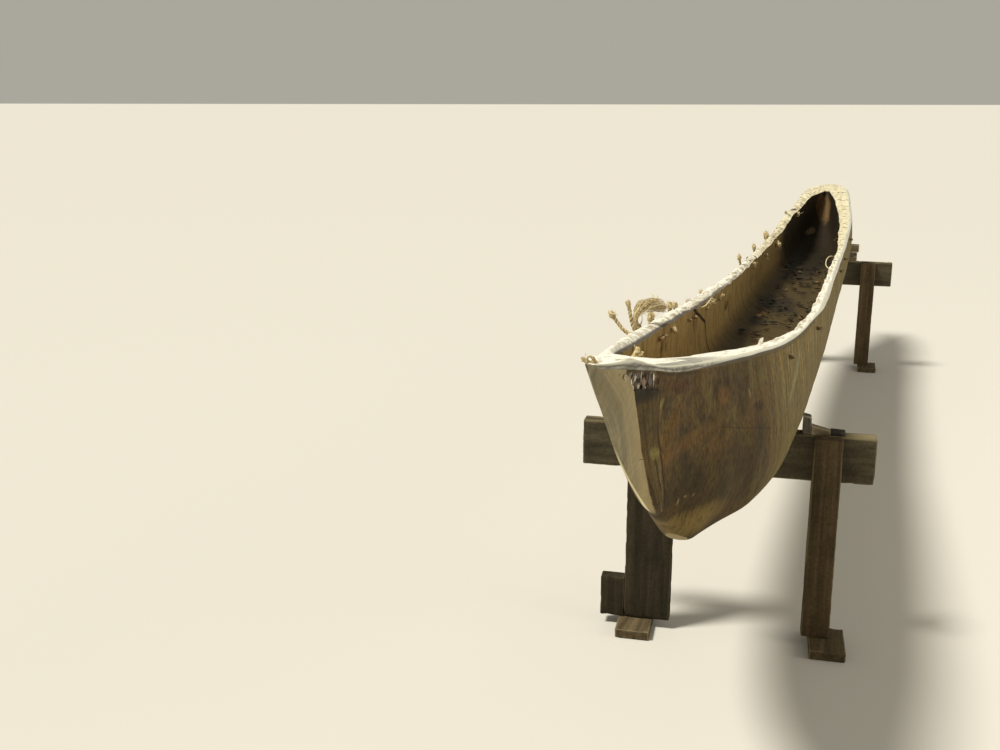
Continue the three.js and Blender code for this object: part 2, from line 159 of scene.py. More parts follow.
# Lashing ends from the bow aft: place, then how far each runs out, rises and sweeps outside the wall,
# the size of its frayed tuft, how far it runs in and drops inside, and the size of the tuft there
LASHING_COLUMNS = ("x", "out", "rise", "sweep", "tuft", "run_in", "drop", "inner_tuft")
LASHINGS = {
    "starboard": (
        (1.765, 0.07, 0.06, 0.006, 0.011, -0.006, 0.003, 0.004),
        (1.738, 0.03, 0.092, 0.007, 0.009, -0.006, 0.003, 0.004),
        (1.69, 0.004, 0.024, 0.01, 0.008, -0.004, 0.003, 0.006),
        (1.54, 0.002, 0.034, -0.006, 0.015, -0.004, -0.002, 0.013),
        (1.25, -0.002, 0.04, -0.002, 0.012, -0.007, 0.002, 0.005),
        (1.15, -0.002, 0.034, 0.0, 0.011, -0.006, 0.004, 0.005),
        (0.89, 0.0, 0.016, 0.004, 0.008, 0.008, -0.024, 0.013),
        (0.62, 0.0, 0.024, 0.006, 0.008, 0.006, -0.014, 0.007),
        (-0.395, 0.01, 0.042, 0.008, 0.012, -0.002, -0.016, 0.009),
        (-0.85, 0.004, 0.036, 0.006, 0.013, -0.002, 0.016, 0.008),
        (-1.3, 0.002, 0.034, -0.006, 0.019, 0.002, 0.012, 0.017),
        (-2.14, 0.004, 0.02, 0.006, 0.009, 0.0, -0.014, 0.012),
    ),
    "port": (
        (1.95, 0.004, 0.004, 0.002, 0.0, 0.0, -0.036, 0.006),
        (1.24, 0.005, 0.003, -0.002, 0.0, 0.004, 0.008, 0.005),
        (-0.4, 0.004, 0.004, 0.002, 0.0, 0.012, 0.018, 0.006),
        (-0.82, 0.004, 0.004, 0.002, 0.0, 0.01, 0.016, 0.006),
        (-1.5, 0.004, 0.003, 0.002, 0.0, 0.006, 0.006, 0.005),
    ),
}

# Cords in the bow's deck by node: the place whose rim they are measured from, then for each cord its
# foot in the wood and the places that it passes, its tuft's radius and its seed
STUBS = {
    "lashing_bow_deck": (2.6, (
        (((2.6, -0.045, -0.043), (2.6, -0.045, -0.01), (2.6, -0.045, 0.003), (2.598, -0.042, 0.01),
          (2.596, -0.037, 0.019)), 0.0065, 211),
        (((2.6, -0.045, -0.03), (2.6, -0.045, -0.008), (2.598, -0.043, 0.003), (2.594, -0.034, 0.008),
          (2.592, -0.029, 0.012)), 0.0045, 215),
    )),
    "lashing_bow_tip": (3.04, (
        (((3.04, 0.0, -0.029), (3.04, 0.0, -0.008), (3.042, -0.001, 0.001), (3.052, -0.006, 0.005),
          (3.06, -0.01, 0.007)), 0.0024, 221),
        (((3.04, 0.0, -0.02), (3.04, 0.001, -0.004), (3.046, -0.002, 0.003), (3.054, -0.007, 0.014)),
         0.0018, 225),
        (((3.044, -0.004, -0.006), (3.056, -0.009, 0.003), (3.066, -0.014, 0.01), (3.071, -0.017, 0.015)),
         0.004, 229),
    )),
}
TIP_LOOP = (3.06, -0.009, 0.013)

# The loose hank at the third starboard lashing, from the wall up and over, and strands that leave it
HANK = (
    (1.692, -0.224, 0.957), (1.7, -0.238, 0.985), (1.708, -0.238, 1.018), (1.702, -0.222, 1.039),
    (1.68, -0.203, 1.041), (1.645, -0.188, 1.034), (1.606, -0.178, 1.022),
)
STRAYS = (
    ((1.66, -0.2, 1.045), (1.655, -0.205, 1.066)),
    ((1.65, -0.192, 1.042), (1.625, -0.198, 1.06)),
    ((1.668, -0.205, 1.048), (1.64, -0.215, 1.072)),
    ((1.655, -0.196, 1.044), (1.645, -0.194, 1.064)),
    ((1.684, -0.232, 0.975), (1.69, -0.226, 1.012)),
    ((1.7, -0.22, 1.036), (1.722, -0.226, 1.052)),
)
LOOPS = (
    ((-0.8, 0.176, 0.866), (-0.7, 0.15, 0.884), (-0.58, 0.14, 0.88), (-0.46, 0.15, 0.868),
     (-0.4, 0.176, 0.862)),
    ((1.0, -0.178, 0.914), (0.97, -0.164, 0.916), (0.92, -0.16, 0.922), (0.885, -0.156, 0.926)),
)

# Torn pieces in the notch: share from fore to aft, share from top to sill, lean fore and aft, length,
# half breadth, and tone from dark over grey and flesh brown to white
SPLINTER_COLUMNS = ("across", "down", "lean", "length", "breadth", "tone")
SPLINTERS = (
    (0.945, 0.46, 0.75, 0.038, 0.0036, 1.0),
    (0.8, 0.46, 0.75, 0.031, 0.0095, 0.38),
    (0.55, 0.55, 0.75, 0.022, 0.009, 0.64),
    (0.52, 0.16, 0.5, 0.016, 0.0022, 0.9),
    (0.22, 0.28, -0.9, 0.016, 0.0024, 0.95),
    (0.33, 0.16, -0.6, 0.014, 0.002, 0.6),
    (0.29, 0.84, -0.2, 0.013, 0.0028, 0.96),
    (0.56, 0.88, 3.0, 0.016, 0.0022, 1.0),
    (0.46, 0.9, 0.6, 0.01, 0.004, 0.55),
    (1.02, 0.62, 0.75, 0.022, 0.0018, 0.6),
    (0.4, 0.55, 0.75, 0.016, 0.004, 0.3),
    (-0.2, 0.16, 3.0, 0.016, 0.0014, 0.8),
    (-0.13, 0.34, -0.6, 0.015, 0.0014, 0.85),
    (-0.14, 0.26, 0.8, 0.012, 0.005, 0.72),
    (-0.05, 0.56, 0.6, 0.014, 0.0022, 1.0),
    (0.01, 0.9, 0.9, 0.014, 0.002, 0.95),
)
# Torn chips that stand on the port rim: place, lean, length, half breadth and tone
RIM_CHIPS = (
    ((1.994, 0.138, 1.022), (-1.3, 0.5, 1.0), 0.034, 0.007, 1.0),
    ((2.01, 0.134, 1.016), (0.2, 0.8, 0.5), 0.02, 0.005, 0.92),
    ((0.06, 0.19, 0.895), (-0.4, 0.2, 1.0), 0.016, 0.003, 0.9),
)


class Side(Enum):
    """The two sides of the hull, with the sign of Y there."""

    PORT = 1
    STARBOARD = -1


class Axis(Enum):
    """The way that a timber's grain runs."""

    X = 0
    Y = 1
    Z = 2


def smoothstep(low: float, high: float, value: Array) -> Array:
    """Goes from 0 at low to 1 at high with level ends.

    Args:
        low: where the rise starts; it may lie above high for a fall.
        high: where it ends.
        value: any array.

    Returns:
        The eased share, 3 t squared less 2 t cubed.
    """
    t = np.clip((np.asarray(value, float) - low) / (high - low), 0.0, 1.0)
    return t * t * (3.0 - 2.0 * t)


def blend(a: Array, b: Array, share: Array) -> Array:
    """The mix of a and b by a share."""
    return a * (1.0 - share) + b * share


@dataclass(frozen=True)
class Noise:
    """Smooth lattice noise with a seeded table of gradient directions.

    Attributes:
        seed: picks the table, so that each use has its own pattern.
    """

    seed: int

    def at(self, points: Array, size: float | Sequence[float]) -> Array:
        """Gradient noise: each corner's gradient dotted with the offset to it, eased between corners.

        Args:
            points: places, with three numbers on the last axis.
            size: length of a cell, one for all axes or one for each.

        Returns:
            Values from about -0.8 to 0.8.
        """
        rng = np.random.default_rng(self.seed)
        order = rng.permutation(256)
        ways = rng.normal(size=(256, 3))
        ways /= np.linalg.norm(ways, axis=1, keepdims=True)
        place = np.asarray(points, float) / np.asarray(size, float)
        cell = np.floor(place).astype(int)
        offset = place - cell
        ease = offset**3 * (offset * (offset * 6.0 - 15.0) + 10.0)
        total = np.zeros(place.shape[:-1])
        for corner in np.ndindex(2, 2, 2):
            step = np.array(corner)
            i, j, k = np.moveaxis((cell + step) & 255, -1, 0)
            way = ways[order[(order[(order[i] + j) & 255] + k) & 255]]
            weight = np.prod(np.where(step == 1, ease, 1.0 - ease), axis=-1)
            total += weight * np.sum(way * (offset - step), axis=-1)
        return total * 1.5

    def rough(self, points: Array, size: float | Sequence[float], octaves: int = 3) -> Array:
        """Sum of octaves of the noise, each half the size and half the height of the last.

        Args:
            points: places, with three numbers on the last axis.
            size: length of the first octave's cell.
            octaves: how many.

        Returns:
            The sum.
        """
        scale = np.asarray(size, float)
        return sum(
            Noise(self.seed + 17 * k).at(points, scale / 2.0**k) / 2.0**k for k in range(octaves)
        )


def along(x: Array, lane: float) -> Array:
    """Points on a line for noise that varies along the hull only, with a lane of its own."""
    x = np.asarray(x, float)
    return np.stack([x, np.full_like(x, lane), np.full_like(x, 0.37)], axis=-1)


def signed_distance(x: Array, z: Array, line: Sequence[Sequence[float]]) -> Array:
    """Distance in the X and Z plane from a line of points that runs downward, positive aft of it.

    Args:
        x: places along the hull.
        z: heights.
        line: corner points as (x, z), from the top down.

    Returns:
        The distance to the nearest segment, its sign from that segment's side.
    """
    best = np.full(np.shape(x), 1e9)
    sign = np.ones(np.shape(x))
    for (ax, az), (bx, bz) in zip(line, line[1:]):
        dx, dz = bx - ax, bz - az
        share = np.clip(((x - ax) * dx + (z - az) * dz) / (dx * dx + dz * dz), 0.0, 1.0)
        gap = np.hypot(x - ax - share * dx, z - az - share * dz)
        cross = dx * (z - az) - dz * (x - ax)
        nearer = gap < best - 1e-9
        best = np.where(nearer, gap, best)
        sign = np.where(nearer, np.where(cross < 0.0, 1.0, -1.0), sign)
    return best * sign


@dataclass(frozen=True)
class Piece:
    """A mesh in the making: its points, its faces and what its material reads.

    Attributes:
        points: one row of three numbers for each vertex.
        corners: the vertex numbers of all faces, end to end.
        sizes: how many corners each face has.
        values: named numbers, one for each vertex.
    """

    points: Array
    corners: Array
    sizes: Array
    values: dict[str, Array]

    def volume(self) -> float:
        """Sums the tetrahedra from the origin over each face's fan of triangles.

        Returns:
            The signed volume.
        """
        starts = np.cumsum(self.sizes) - self.sizes
        total = 0.0
        for size in np.unique(self.sizes):
            chosen = starts[self.sizes == size]
            for k in range(1, size - 1):
                a = self.points[self.corners[chosen]]
                b = self.points[self.corners[chosen + k]]
                c = self.points[self.corners[chosen + k + 1]]
                total += float(np.sum(a * np.cross(b, c))) / 6.0
        return total

    def turned(self) -> Piece:
        """Puts each face's corners in the opposite order.

        Returns:
            The piece turned inside out.
        """
        starts = np.repeat(np.cumsum(self.sizes) - self.sizes, self.sizes)
        ends = np.repeat(np.cumsum(self.sizes) - 1, self.sizes)
        index = np.arange(len(self.corners))
        return Piece(self.points, self.corners[starts + ends - index], self.sizes, self.values)

    def outward(self) -> Piece:
        """The piece with its faces pointing out."""
        return self if self.volume() > 0.0 else self.turned()


def join(pieces: Sequence[Piece]) -> Piece:
    """One piece holding all of them, unconnected.

    Args:
        pieces: pieces with the same named values.

    Returns:
        Their points, faces and values, one after another.
    """
    counts = np.cumsum([0] + [len(p.points) for p in pieces[:-1]])
    return Piece(
        np.concatenate([p.points for p in pieces]),
        np.concatenate([p.corners + n for p, n in zip(pieces, counts)]),
        np.concatenate([p.sizes for p in pieces]),
        {k: np.concatenate([p.values[k] for p in pieces]) for k in pieces[0].values},
    )


def loft(rings: Array, values: dict[str, Array] | None = None) -> Piece:
    """Closed skin through equal rings, with a fan of triangles to the middle of each end ring.

    Args:
        rings: an array of rings by points by three.
        values: named numbers of rings by points; an end's middle takes its first point's.

    Returns:
        The closed piece, facing outward.
    """
    count, around = rings.shape[:2]
    r, i = np.meshgrid(np.arange(count - 1), np.arange(around), indexing="ij")
    a = r * around + i
    b = r * around + (i + 1) % around
    quads = np.stack([a, b, b + around, a + around], axis=-1).reshape(-1, 4)
    first, last = count * around, count * around + 1
    ring = np.arange(around)
    after = (ring + 1) % around
    tail = (count - 1) * around
    head_fan = np.stack([np.full(around, first), after, ring], axis=-1)
    tail_fan = np.stack([np.full(around, last), tail + ring, tail + after], axis=-1)
    points = np.concatenate([rings.reshape(-1, 3), rings[[0, -1]].mean(axis=1)])
    named = {
        k: np.concatenate([v.reshape(-1), v[[0, -1], 0]]) for k, v in (values or {}).items()
    }
    corners = np.concatenate([quads.ravel(), head_fan.ravel(), tail_fan.ravel()])
    sizes = np.concatenate([np.full(len(quads), 4), np.full(2 * around, 3)])
    return Piece(points, corners, sizes, named).outward()


def ring_normals(rings: Array) -> Array:
    """Unit normals of closed rings: the cross of the steps along them and round them, facing out.

    Args:
        rings: an array of rings by points by three.

    Returns:
        A normal for each point.
    """
    onward = np.gradient(rings, axis=0)
    around = (np.roll(rings, -1, axis=1) - np.roll(rings, 1, axis=1)) * 0.5
    normal = np.cross(around, onward)
    away = rings - rings.mean(axis=(0, 1))
    facing = 1.0 if np.sum(normal * away) > 0.0 else -1.0
    return facing * normal / np.maximum(np.linalg.norm(normal, axis=-1, keepdims=True), 1e-12)


def placed(data: Any) -> Any:
    """Puts a mesh, camera or lamp in the scene.

    Args:
        data: the mesh, camera or lamp.

    Returns:
        Its object, by the same name.
    """
    thing = bpy.data.objects.new(data.name, data)
    bpy.context.scene.collection.objects.link(thing)
    return thing


def put(name: str, piece: Piece, material: Material, smooth: float = SMOOTH_ANGLE) -> Any:
    """Makes a piece a Blender object with its material, riding on the hull's body.

    Args:
        name: the object's name.
        piece: its mesh.
        material: its finish.
        smooth: the angle past which an edge stays sharp.

    Returns:
        The object.
    """
    mesh = bpy.data.meshes.new(name)
    mesh.vertices.add(len(piece.points))
    mesh.vertices.foreach_set("co", piece.points.astype(np.float32).ravel())
    mesh.loops.add(len(piece.corners))
    mesh.loops.foreach_set("vertex_index", piece.corners.astype(np.int32))
    mesh.polygons.add(len(piece.sizes))
    starts = np.cumsum(piece.sizes) - piece.sizes
    mesh.polygons.foreach_set("loop_start", starts.astype(np.int32))
    mesh.update(calc_edges=True)
    for label, numbers in piece.values.items():
        layer = mesh.attributes.new(label, "FLOAT", "POINT")
        layer.data.foreach_set("value", numbers.astype(np.float32))
    mesh.shade_smooth()
    mesh.set_sharp_from_angle(angle=smooth)
    mesh.materials.append(material)
    thing = placed(mesh)
    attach(thing, "root")
    triangles = int(np.sum(piece.sizes - 2))
    LOG.info("%s: %d points, %d triangles", name, len(piece.points), triangles)
    return thing


class Graph:
    """Short calls for building one material's nodes."""

    def __init__(self, name: str, roughness: float, specular: float = 0.35) -> None:
        """Starts a material with a Principled shader.

        Args:
            name: the material's name.
            roughness: the shader's roughness where nothing is linked to it.
            specular: the shader's specular level.
        """
        self.material = bpy.data.materials.new(name)
        self.material.use_nodes = True
        self.shader = self.material.node_tree.nodes["Principled BSDF"]
        self.shader.inputs["Roughness"].default_value = roughness
        self.shader.inputs["Specular IOR Level"].default_value = specular

    def give(self, socket: Socket, value: Any) -> None:
        """Links a socket's value, or sets it where the value is plain.

        Args:
            socket: the socket that takes it.
            value: another node's output, a number, or a colour.
        """
        if isinstance(value, Socket):
            self.material.node_tree.links.new(value, socket)
        elif socket.type == "RGBA":
            socket.default_value = (*value, 1.0)
        else:
            socket.default_value = value

    def node(self, kind: str, inputs: dict[int | str, Any], output: int | str = 0,
             **options: Any) -> Socket:
        """Adds one node.

        Args:
            kind: its type, without the prefix that all of them share.
            inputs: what its sockets take, by name or number.
            output: which of its results is wanted.
            options: its own settings.

        Returns:
            That result.
        """
        node = self.material.node_tree.nodes.new(f"ShaderNode{kind}")
        for option, value in options.items():
            setattr(node, option, value)
        for socket, value in inputs.items():
            self.give(node.inputs[socket], value)
        return node.outputs[output]

    def coords(self, scale: Place) -> Socket:
        """Object coordinates, scaled."""
        return self.node("Mapping", {"Vector": self.node("TexCoord", {}, "Object"), "Scale": scale})

    def place(self, axis: Axis) -> Socket:
        """One of the Object coordinates, in metres."""
        return self.node("SeparateXYZ", {0: self.node("TexCoord", {}, "Object")}, axis.value)

    def vector(self, x: Any, y: Any, z: Any) -> Socket:
        """Three numbers as a vector."""
        return self.node("CombineXYZ", {0: x, 1: y, 2: z})

    def stretched(self, place: Sequence[Any], scale: Sequence[float]) -> Socket:
        """Three numbers as a vector, each scaled by its own amount."""
        return self.vector(*(self.times(value, size) for value, size in zip(place, scale)))

    def value(self, name: str) -> Socket:
        """A number that the mesh keeps at each vertex."""
        return self.node("Attribute", {}, "Fac", attribute_name=name)

    def noise(self, vector: Socket, detail: float = 4.0, rough: float = 0.55, warp: float = 0.0) -> Socket:
        """Fractal noise from 0 to 1."""
        look = {"Scale": 1.0, "Detail": detail, "Roughness": rough, "Distortion": warp}
        return self.node("TexNoise", {"Vector": vector, **look}, "Fac")

    def ramp(self, value: Socket, *stops: tuple[float, Colour]) -> Socket:
        """A colour for each value.

        Args:
            value: the value.
            stops: a few values in rising order, each with its colour.

        Returns:
            The colour.
        """
        colour = self.node("ValToRGB", {"Fac": value}, "Color")
        stop_list = colour.node.color_ramp.elements
        while len(stop_list) < len(stops):
            stop_list.new(0.5)
        for stop, (place, tint) in zip(stop_list, stops):
            stop.position = place
            stop.color = (*tint, 1.0)
        return colour

    def mix(self, share: Any, a: Any, b: Any, how: str = "MIX") -> Socket:
        """Two colours mixed by a share."""
        return self.node("Mix", {0: share, 6: a, 7: b}, 2, data_type="RGBA", blend_type=how)

    def pattern(self, scale: Place, *shape: float) -> Socket:
        """Noise over the object's own coordinates, in waves a metre."""
        return self.noise(self.coords(scale), *shape)

    def coat(self, under: Any, tint: Any, *shares: Any) -> Socket:
        """A colour with a tint over it, by the product of shares."""
        return self.mix(self.both(*shares), under, tint)

    def shaded(self, share: Any, colour: Any, value: Socket, *stops: tuple[float, Colour]) -> Socket:
        """A colour multiplied, by a share, with the shade that a value picks from stops."""
        return self.mix(share, colour, self.ramp(value, *stops), "MULTIPLY")

    def sum(self, how: str, a: Any, b: Any = 0.0, clamp: bool = False) -> Socket:
        """One step of arithmetic."""
        return self.node("Math", {0: a, 1: b}, operation=how, use_clamp=clamp)

    def times(self, a: Any, b: Any, clamp: bool = False) -> Socket:
        """The product of two numbers."""
        return self.sum("MULTIPLY", a, b, clamp)

    def plus(self, a: Any, b: Any, clamp: bool = False) -> Socket:
        """The sum of two numbers."""
        return self.sum("ADD", a, b, clamp)

    def minus(self, a: Any, b: Any) -> Socket:
        """The first number less the second."""
        return self.sum("SUBTRACT", a, b)

    def both(self, *shares: Any) -> Socket:
        """The product of shares."""
        return reduce(self.times, shares)

    def step(self, value: Any, low: float, high: float, top: float = 1.0) -> Socket:
        """Rises smoothly from 0 at low to top at high; it falls where low lies above high."""
        ends = {1: high, 2: low, 3: top, 4: 0.0} if low > high else {1: low, 2: high, 3: 0.0, 4: top}
        return self.node("MapRange", {0: value, **ends}, interpolation_type="SMOOTHSTEP")

    def band(self, value: Any, middle: float, half: float, top: float = 1.0) -> Socket:
        """A smooth hump of a half width round a middle value."""
        return self.step(self.sum("ABSOLUTE", self.minus(value, middle)), half, 0.0, top)

    def spot(self, u: Any, v: Any, middle: tuple[float, float], size: tuple[float, float],
             turn: float = 0.0, ragged: Any = 0.5) -> Socket:
        """An ellipse with a soft, ragged edge.

        Args:
            u: the first coordinate.
            v: the second.
            middle: its middle.
            size: its two half lengths.
            turn: how far the first of them is turned, in degrees.
            ragged: noise round a half that moves the edge in and out.

        Returns:
            The share, 1 within and 0 outside.
        """
        c, s = math.cos(math.radians(turn)), math.sin(math.radians(turn))
        du, dv = self.minus(u, middle[0]), self.minus(v, middle[1])
        rows = []
        for a, b, reach in ((c, s, size[0]), (-s, c, size[1])):
            away = self.plus(self.times(du, a / reach), self.times(dv, b / reach))
            rows.append(self.times(away, away))
        gap = self.plus(self.plus(*rows), self.times(ragged, SPOT_RAGGED))
        return self.step(gap, *SPOT_EDGE)

    def bump(self, height: Socket, distance: float, strength: float = 1.0,
             under: Socket | None = None) -> Socket:
        """A normal from a height field, on top of another normal."""
        below = {} if under is None else {"Normal": under}
        return self.node("Bump", {"Strength": strength, "Distance": distance, "Height": height, **below})

    def done(self, colour: Any, normal: Socket | None = None, roughness: Any = None) -> Material:
        """Plugs the colour, normal and roughness into the shader.

        Args:
            colour: base colour.
            normal: its bump, if any.
            roughness: a share that varies over the surface, if any.

        Returns:
            The material.
        """
        for name, value in (("Base Color", colour), ("Normal", normal), ("Roughness", roughness)):
            if value is not None:
                self.give(self.shader.inputs[name], value)
        return self.material


@dataclass(frozen=True)
class HullWood:
    """Weathered dugout wood: brown stained sides, a bare sun-bleached rim, a grey facet at the stem, with
    painted light and shade in places.
    """

    dark: Colour = (0.036, 0.024, 0.009)
    brown: Colour = (0.083, 0.052, 0.018)
    olive: Colour = (0.121, 0.091, 0.031)
    orange: Colour = (0.152, 0.074, 0.02)
    tan: Colour = (0.215, 0.16, 0.064)
    gold: Colour = (0.33, 0.235, 0.09)
    # The facet's colours are pale as bleached wood and partly as painted light
    facet: Colour = (0.305, 0.258, 0.156)
    facet_shade: Colour = (0.172, 0.15, 0.095)
    # Painted highlight along the stem's edge by the keel
    keel_edge_highlight: Colour = (0.76, 0.68, 0.43)
    rim: Colour = (0.8, 0.775, 0.68)
    rim_shade: Colour = (0.4, 0.36, 0.26)
    crack: Colour = (0.022, 0.015, 0.008)
    inside: Colour = (0.375, 0.268, 0.108)
    inside_dark: Colour = (0.04, 0.028, 0.012)

    def side(self, g: Graph) -> Socket:
        """Colour of the outer skin: mottled brown with streaks that rake with the stem, and its stains,
        with painted light that turns it a lighter tan towards the stern and painted shade low on the bow.

        Args:
            g: the material's nodes.

        Returns:
            The colour.
        """
        x, y, z = (g.place(axis) for axis in Axis)
        below = g.value("below_rim")
        rake = g.both(g.step(x, 2.25, 2.75, 0.6), g.minus(z, 1.0))
        run = g.minus(x, rake)
        skin = (run, y, z)
        blotch = g.noise(g.stretched(skin, (17, 8, 11)), 6, 0.66, 0.2)
        streak = g.noise(g.stretched(skin, (85, 12, 5)), 4, 0.6)
        mottle = g.noise(g.stretched(skin, (150, 60, 70)), 3, 0.65)
        patch = g.pattern((6, 4, 7), 3, 0.55)
        ragged = g.plus(g.times(streak, 0.5), g.times(mottle, 0.5))
        bow = g.step(x, 1.95, 2.38)
        colour = g.ramp(blotch, (0.34, self.dark), (0.5, self.brown), (0.68, self.olive))
        colour = g.coat(colour, self.orange, g.step(patch, 0.46, 0.66), 0.45)
        # Painted light: aft of the bow the skin is a lighter tan, as where more light falls on the side
        # towards the stern
        aft = g.ramp(streak, (0.3, (0.12, 0.088, 0.034)), (0.5, (0.175, 0.133, 0.053)),
                     (0.7, (0.245, 0.185, 0.076)))
        aft = g.mix(g.step(blotch, 0.52, 0.66, 0.5), aft, (0.11, 0.08, 0.032))
        colour = g.mix(g.minus(1.0, bow), colour, aft)
        # Painted shade: the skin darkened low on the bow, where less light reaches from below
        low = g.both(g.step(z, 0.935, 0.85), g.step(x, 2.15, 2.4))
        colour = g.coat(colour, (0.03, 0.021, 0.008), low, 0.55)
        for middle, size, turn, tint, top in (
            ((2.66, 0.958), (0.16, 0.026), -3.0, self.orange, 0.5),
            ((2.838, 1.078), (0.012, 0.018), 0.0, (0.25, 0.215, 0.095), 0.7),
            ((2.514, 1.017), (0.05, 0.026), 20.0, self.orange, 0.7),
            ((2.77, 1.098), (0.075, 0.02), 12.0, (0.075, 0.03, 0.012), 0.7),
            ((2.842, 1.07), (0.014, 0.04), -35.0, self.tan, 0.65),
            ((2.765, 1.068), (0.03, 0.016), 0.0, self.tan, 0.4),
            ((2.253, 1.0), (0.04, 0.03), 0.0, (0.13, 0.125, 0.05), 0.6),
            ((2.3, 0.947), (0.048, 0.014), 10.0, self.crack, 0.6),
            ((2.359, 0.987), (0.0045, 0.016), -20.0, (0.42, 0.33, 0.17), 0.6),
            ((2.603, 0.812), (0.0035, 0.014), -25.0, (0.42, 0.31, 0.13), 0.5),
            ((2.585, 0.819), (0.008, 0.004), 25.0, (0.4, 0.26, 0.11), 0.45),
            ((2.558, 0.814), (0.004, 0.005), 0.0, (0.42, 0.25, 0.12), 0.4),
            ((2.52, 0.735), (0.15, 0.052), 0.0, (0.2, 0.138, 0.048), 0.8),
            ((1.86, 0.915), (0.19, 0.019), -15.0, (0.29, 0.275, 0.2), 0.6),
            ((2.065, 1.002), (0.014, 0.024), 0.0, (0.3, 0.15, 0.05), 0.6),
        ):
            colour = g.coat(colour, tint, g.spot(x, z, middle, size, turn, ragged), top)
        line = g.minus(z, g.times(x, 0.27))
        line = g.plus(line, g.times(blotch, 0.006))
        thin = g.both(g.band(line, 0.2757, 0.0032), g.step(x, 2.56, 2.5), g.step(x, 2.18, 2.24), 0.5)
        colour = g.mix(thin, colour, self.crack)
        drip = g.both(g.step(below, 0.16, 0.01), g.step(streak, 0.5, 0.64), g.step(x, 2.28, 2.0), 0.85)
        colour = g.mix(drip, colour, self.gold)
        shade = g.ramp(streak, (0.28, (0.62, 0.62, 0.62)), (0.52, (0.92, 0.92, 0.92)), (0.76, WHITE))
        colour = g.mix(g.minus(0.5, g.times(bow, 0.25)), colour, shade, "MULTIPLY")
        fine = g.ramp(mottle, (0.34, (0.5, 0.47, 0.36)), (0.5, (0.9, 0.89, 0.74)),
                      (0.62, (1.12, 1.11, 0.92)))
        colour = g.mix(1.0, colour, fine, "MULTIPLY")
        hair = g.noise(g.stretched(skin, (420, 60, 22)), 2, 0.6)
        thin = g.minus(0.4, g.times(bow, 0.2))
        colour = g.shaded(thin, colour, hair, (0.34, (0.62, 0.6, 0.56)), (0.6, (1.1, 1.1, 1.08)))
        seam = g.both(g.band(g.value("seam"), 0.0012, 0.0034), g.step(z, 1.115, 1.108), 0.9)
        colour = g.mix(seam, colour, (0.03, 0.012, 0.006))
        line = g.both(g.band(below, 0.004, 0.005), g.step(blotch, 0.35, 0.5), g.step(x, 2.6, 2.75), 0.7)
        return g.mix(line, colour, self.crack)

    def stem_facet(self, g: Graph) -> Socket:
        """Colour of the bare facet at the stem: grey by its edge, tan by the ridge, pale as bleached wood
        and partly as painted light, with a painted highlight along its edge by the keel.

        Args:
            g: the material's nodes.

        Returns:
            The colour.
        """
        z, ridge = g.place(Axis.Z), g.value("ridge")
        run = g.vector(g.times(ridge, 60.0), 0.0, g.times(z, 2.6))
        streak = g.noise(run, 4.0, 0.6, 0.1)
        mottle = g.pattern((90, 90, 45), 3, 0.6)
        cloud = g.pattern((14, 14, 8), 4, 0.6)
        colour = g.ramp(streak, (0.36, self.facet_shade), (0.5, (0.215, 0.18, 0.108)), (0.62, self.facet))
        colour = g.mix(g.step(cloud, 0.42, 0.6, 0.6), colour, (0.165, 0.152, 0.105))
        colour = g.coat(colour, (0.4, 0.32, 0.165), g.step(ridge, -0.05, -0.006), 0.6)
        colour = g.mix(g.step(z, 0.96, 0.8, 0.55), colour, (0.33, 0.245, 0.115))
        colour = g.shaded(0.5, colour, mottle, (0.34, (0.72, 0.7, 0.66)), (0.62, WHITE))
        tilt = g.plus(z, g.times(ridge, 0.34))
        cut = g.both(g.band(tilt, 0.97, 0.0016), g.band(ridge, -0.003, 0.01))
        colour = g.mix(cut, colour, self.crack)
        # Painted highlight: a bright cream line along the stem's edge by the keel, where the light catches
        # it
        edge = g.both(g.step(g.value("keel"), 0.0045, 0.0022), g.step(z, 1.04, 0.96), g.step(z, 0.73, 0.76))
        return g.mix(edge, colour, self.keel_edge_highlight)

    def bevel(self, g: Graph) -> Socket:
        """Colour of the rim's outer bevel on the port side: weathered grey that is partly painted shade,
        with dark lines along it, and painted highlights along its upper edge and aft.

        Args:
            g: the material's nodes.

        Returns:
            The colour.
        """
        x, below = g.place(Axis.X), g.value("below_rim")
        lines = g.pattern((5, 30, 160), 5, 0.65, 0.5)
        cloud = g.pattern((14, 20, 20), 4)
        # The bevel's grey is weathered wood, darkened with a blue tint as painted shade on this side, which
        # faces away from the light
        colour = g.ramp(lines, (0.34, (0.12, 0.106, 0.085)), (0.48, (0.21, 0.2, 0.16)),
                        (0.7, (0.34, 0.335, 0.275)))
        colour = g.mix(g.step(cloud, 0.5, 0.7, 0.55), colour, (0.33, 0.32, 0.25))
        groove = g.plus(below, g.times(g.minus(cloud, 0.5), 0.01))
        colour = g.coat(colour, (0.075, 0.06, 0.054), g.band(groove, -0.0055, 0.003),
                        g.step(x, 2.45, 2.75), 0.7)
        # Painted highlight: the bevel made pale aft of the bow
        colour = g.mix(g.step(x, 2.62, 2.35, 0.75), colour, (0.56, 0.545, 0.48))
        # Painted highlight: a pale line along the bevel's upper edge
        upper = g.both(g.step(below, -0.008, -0.012), g.step(g.value("top"), 0.9, 0.5), 0.7)
        return g.mix(upper, colour, (0.62, 0.59, 0.47))

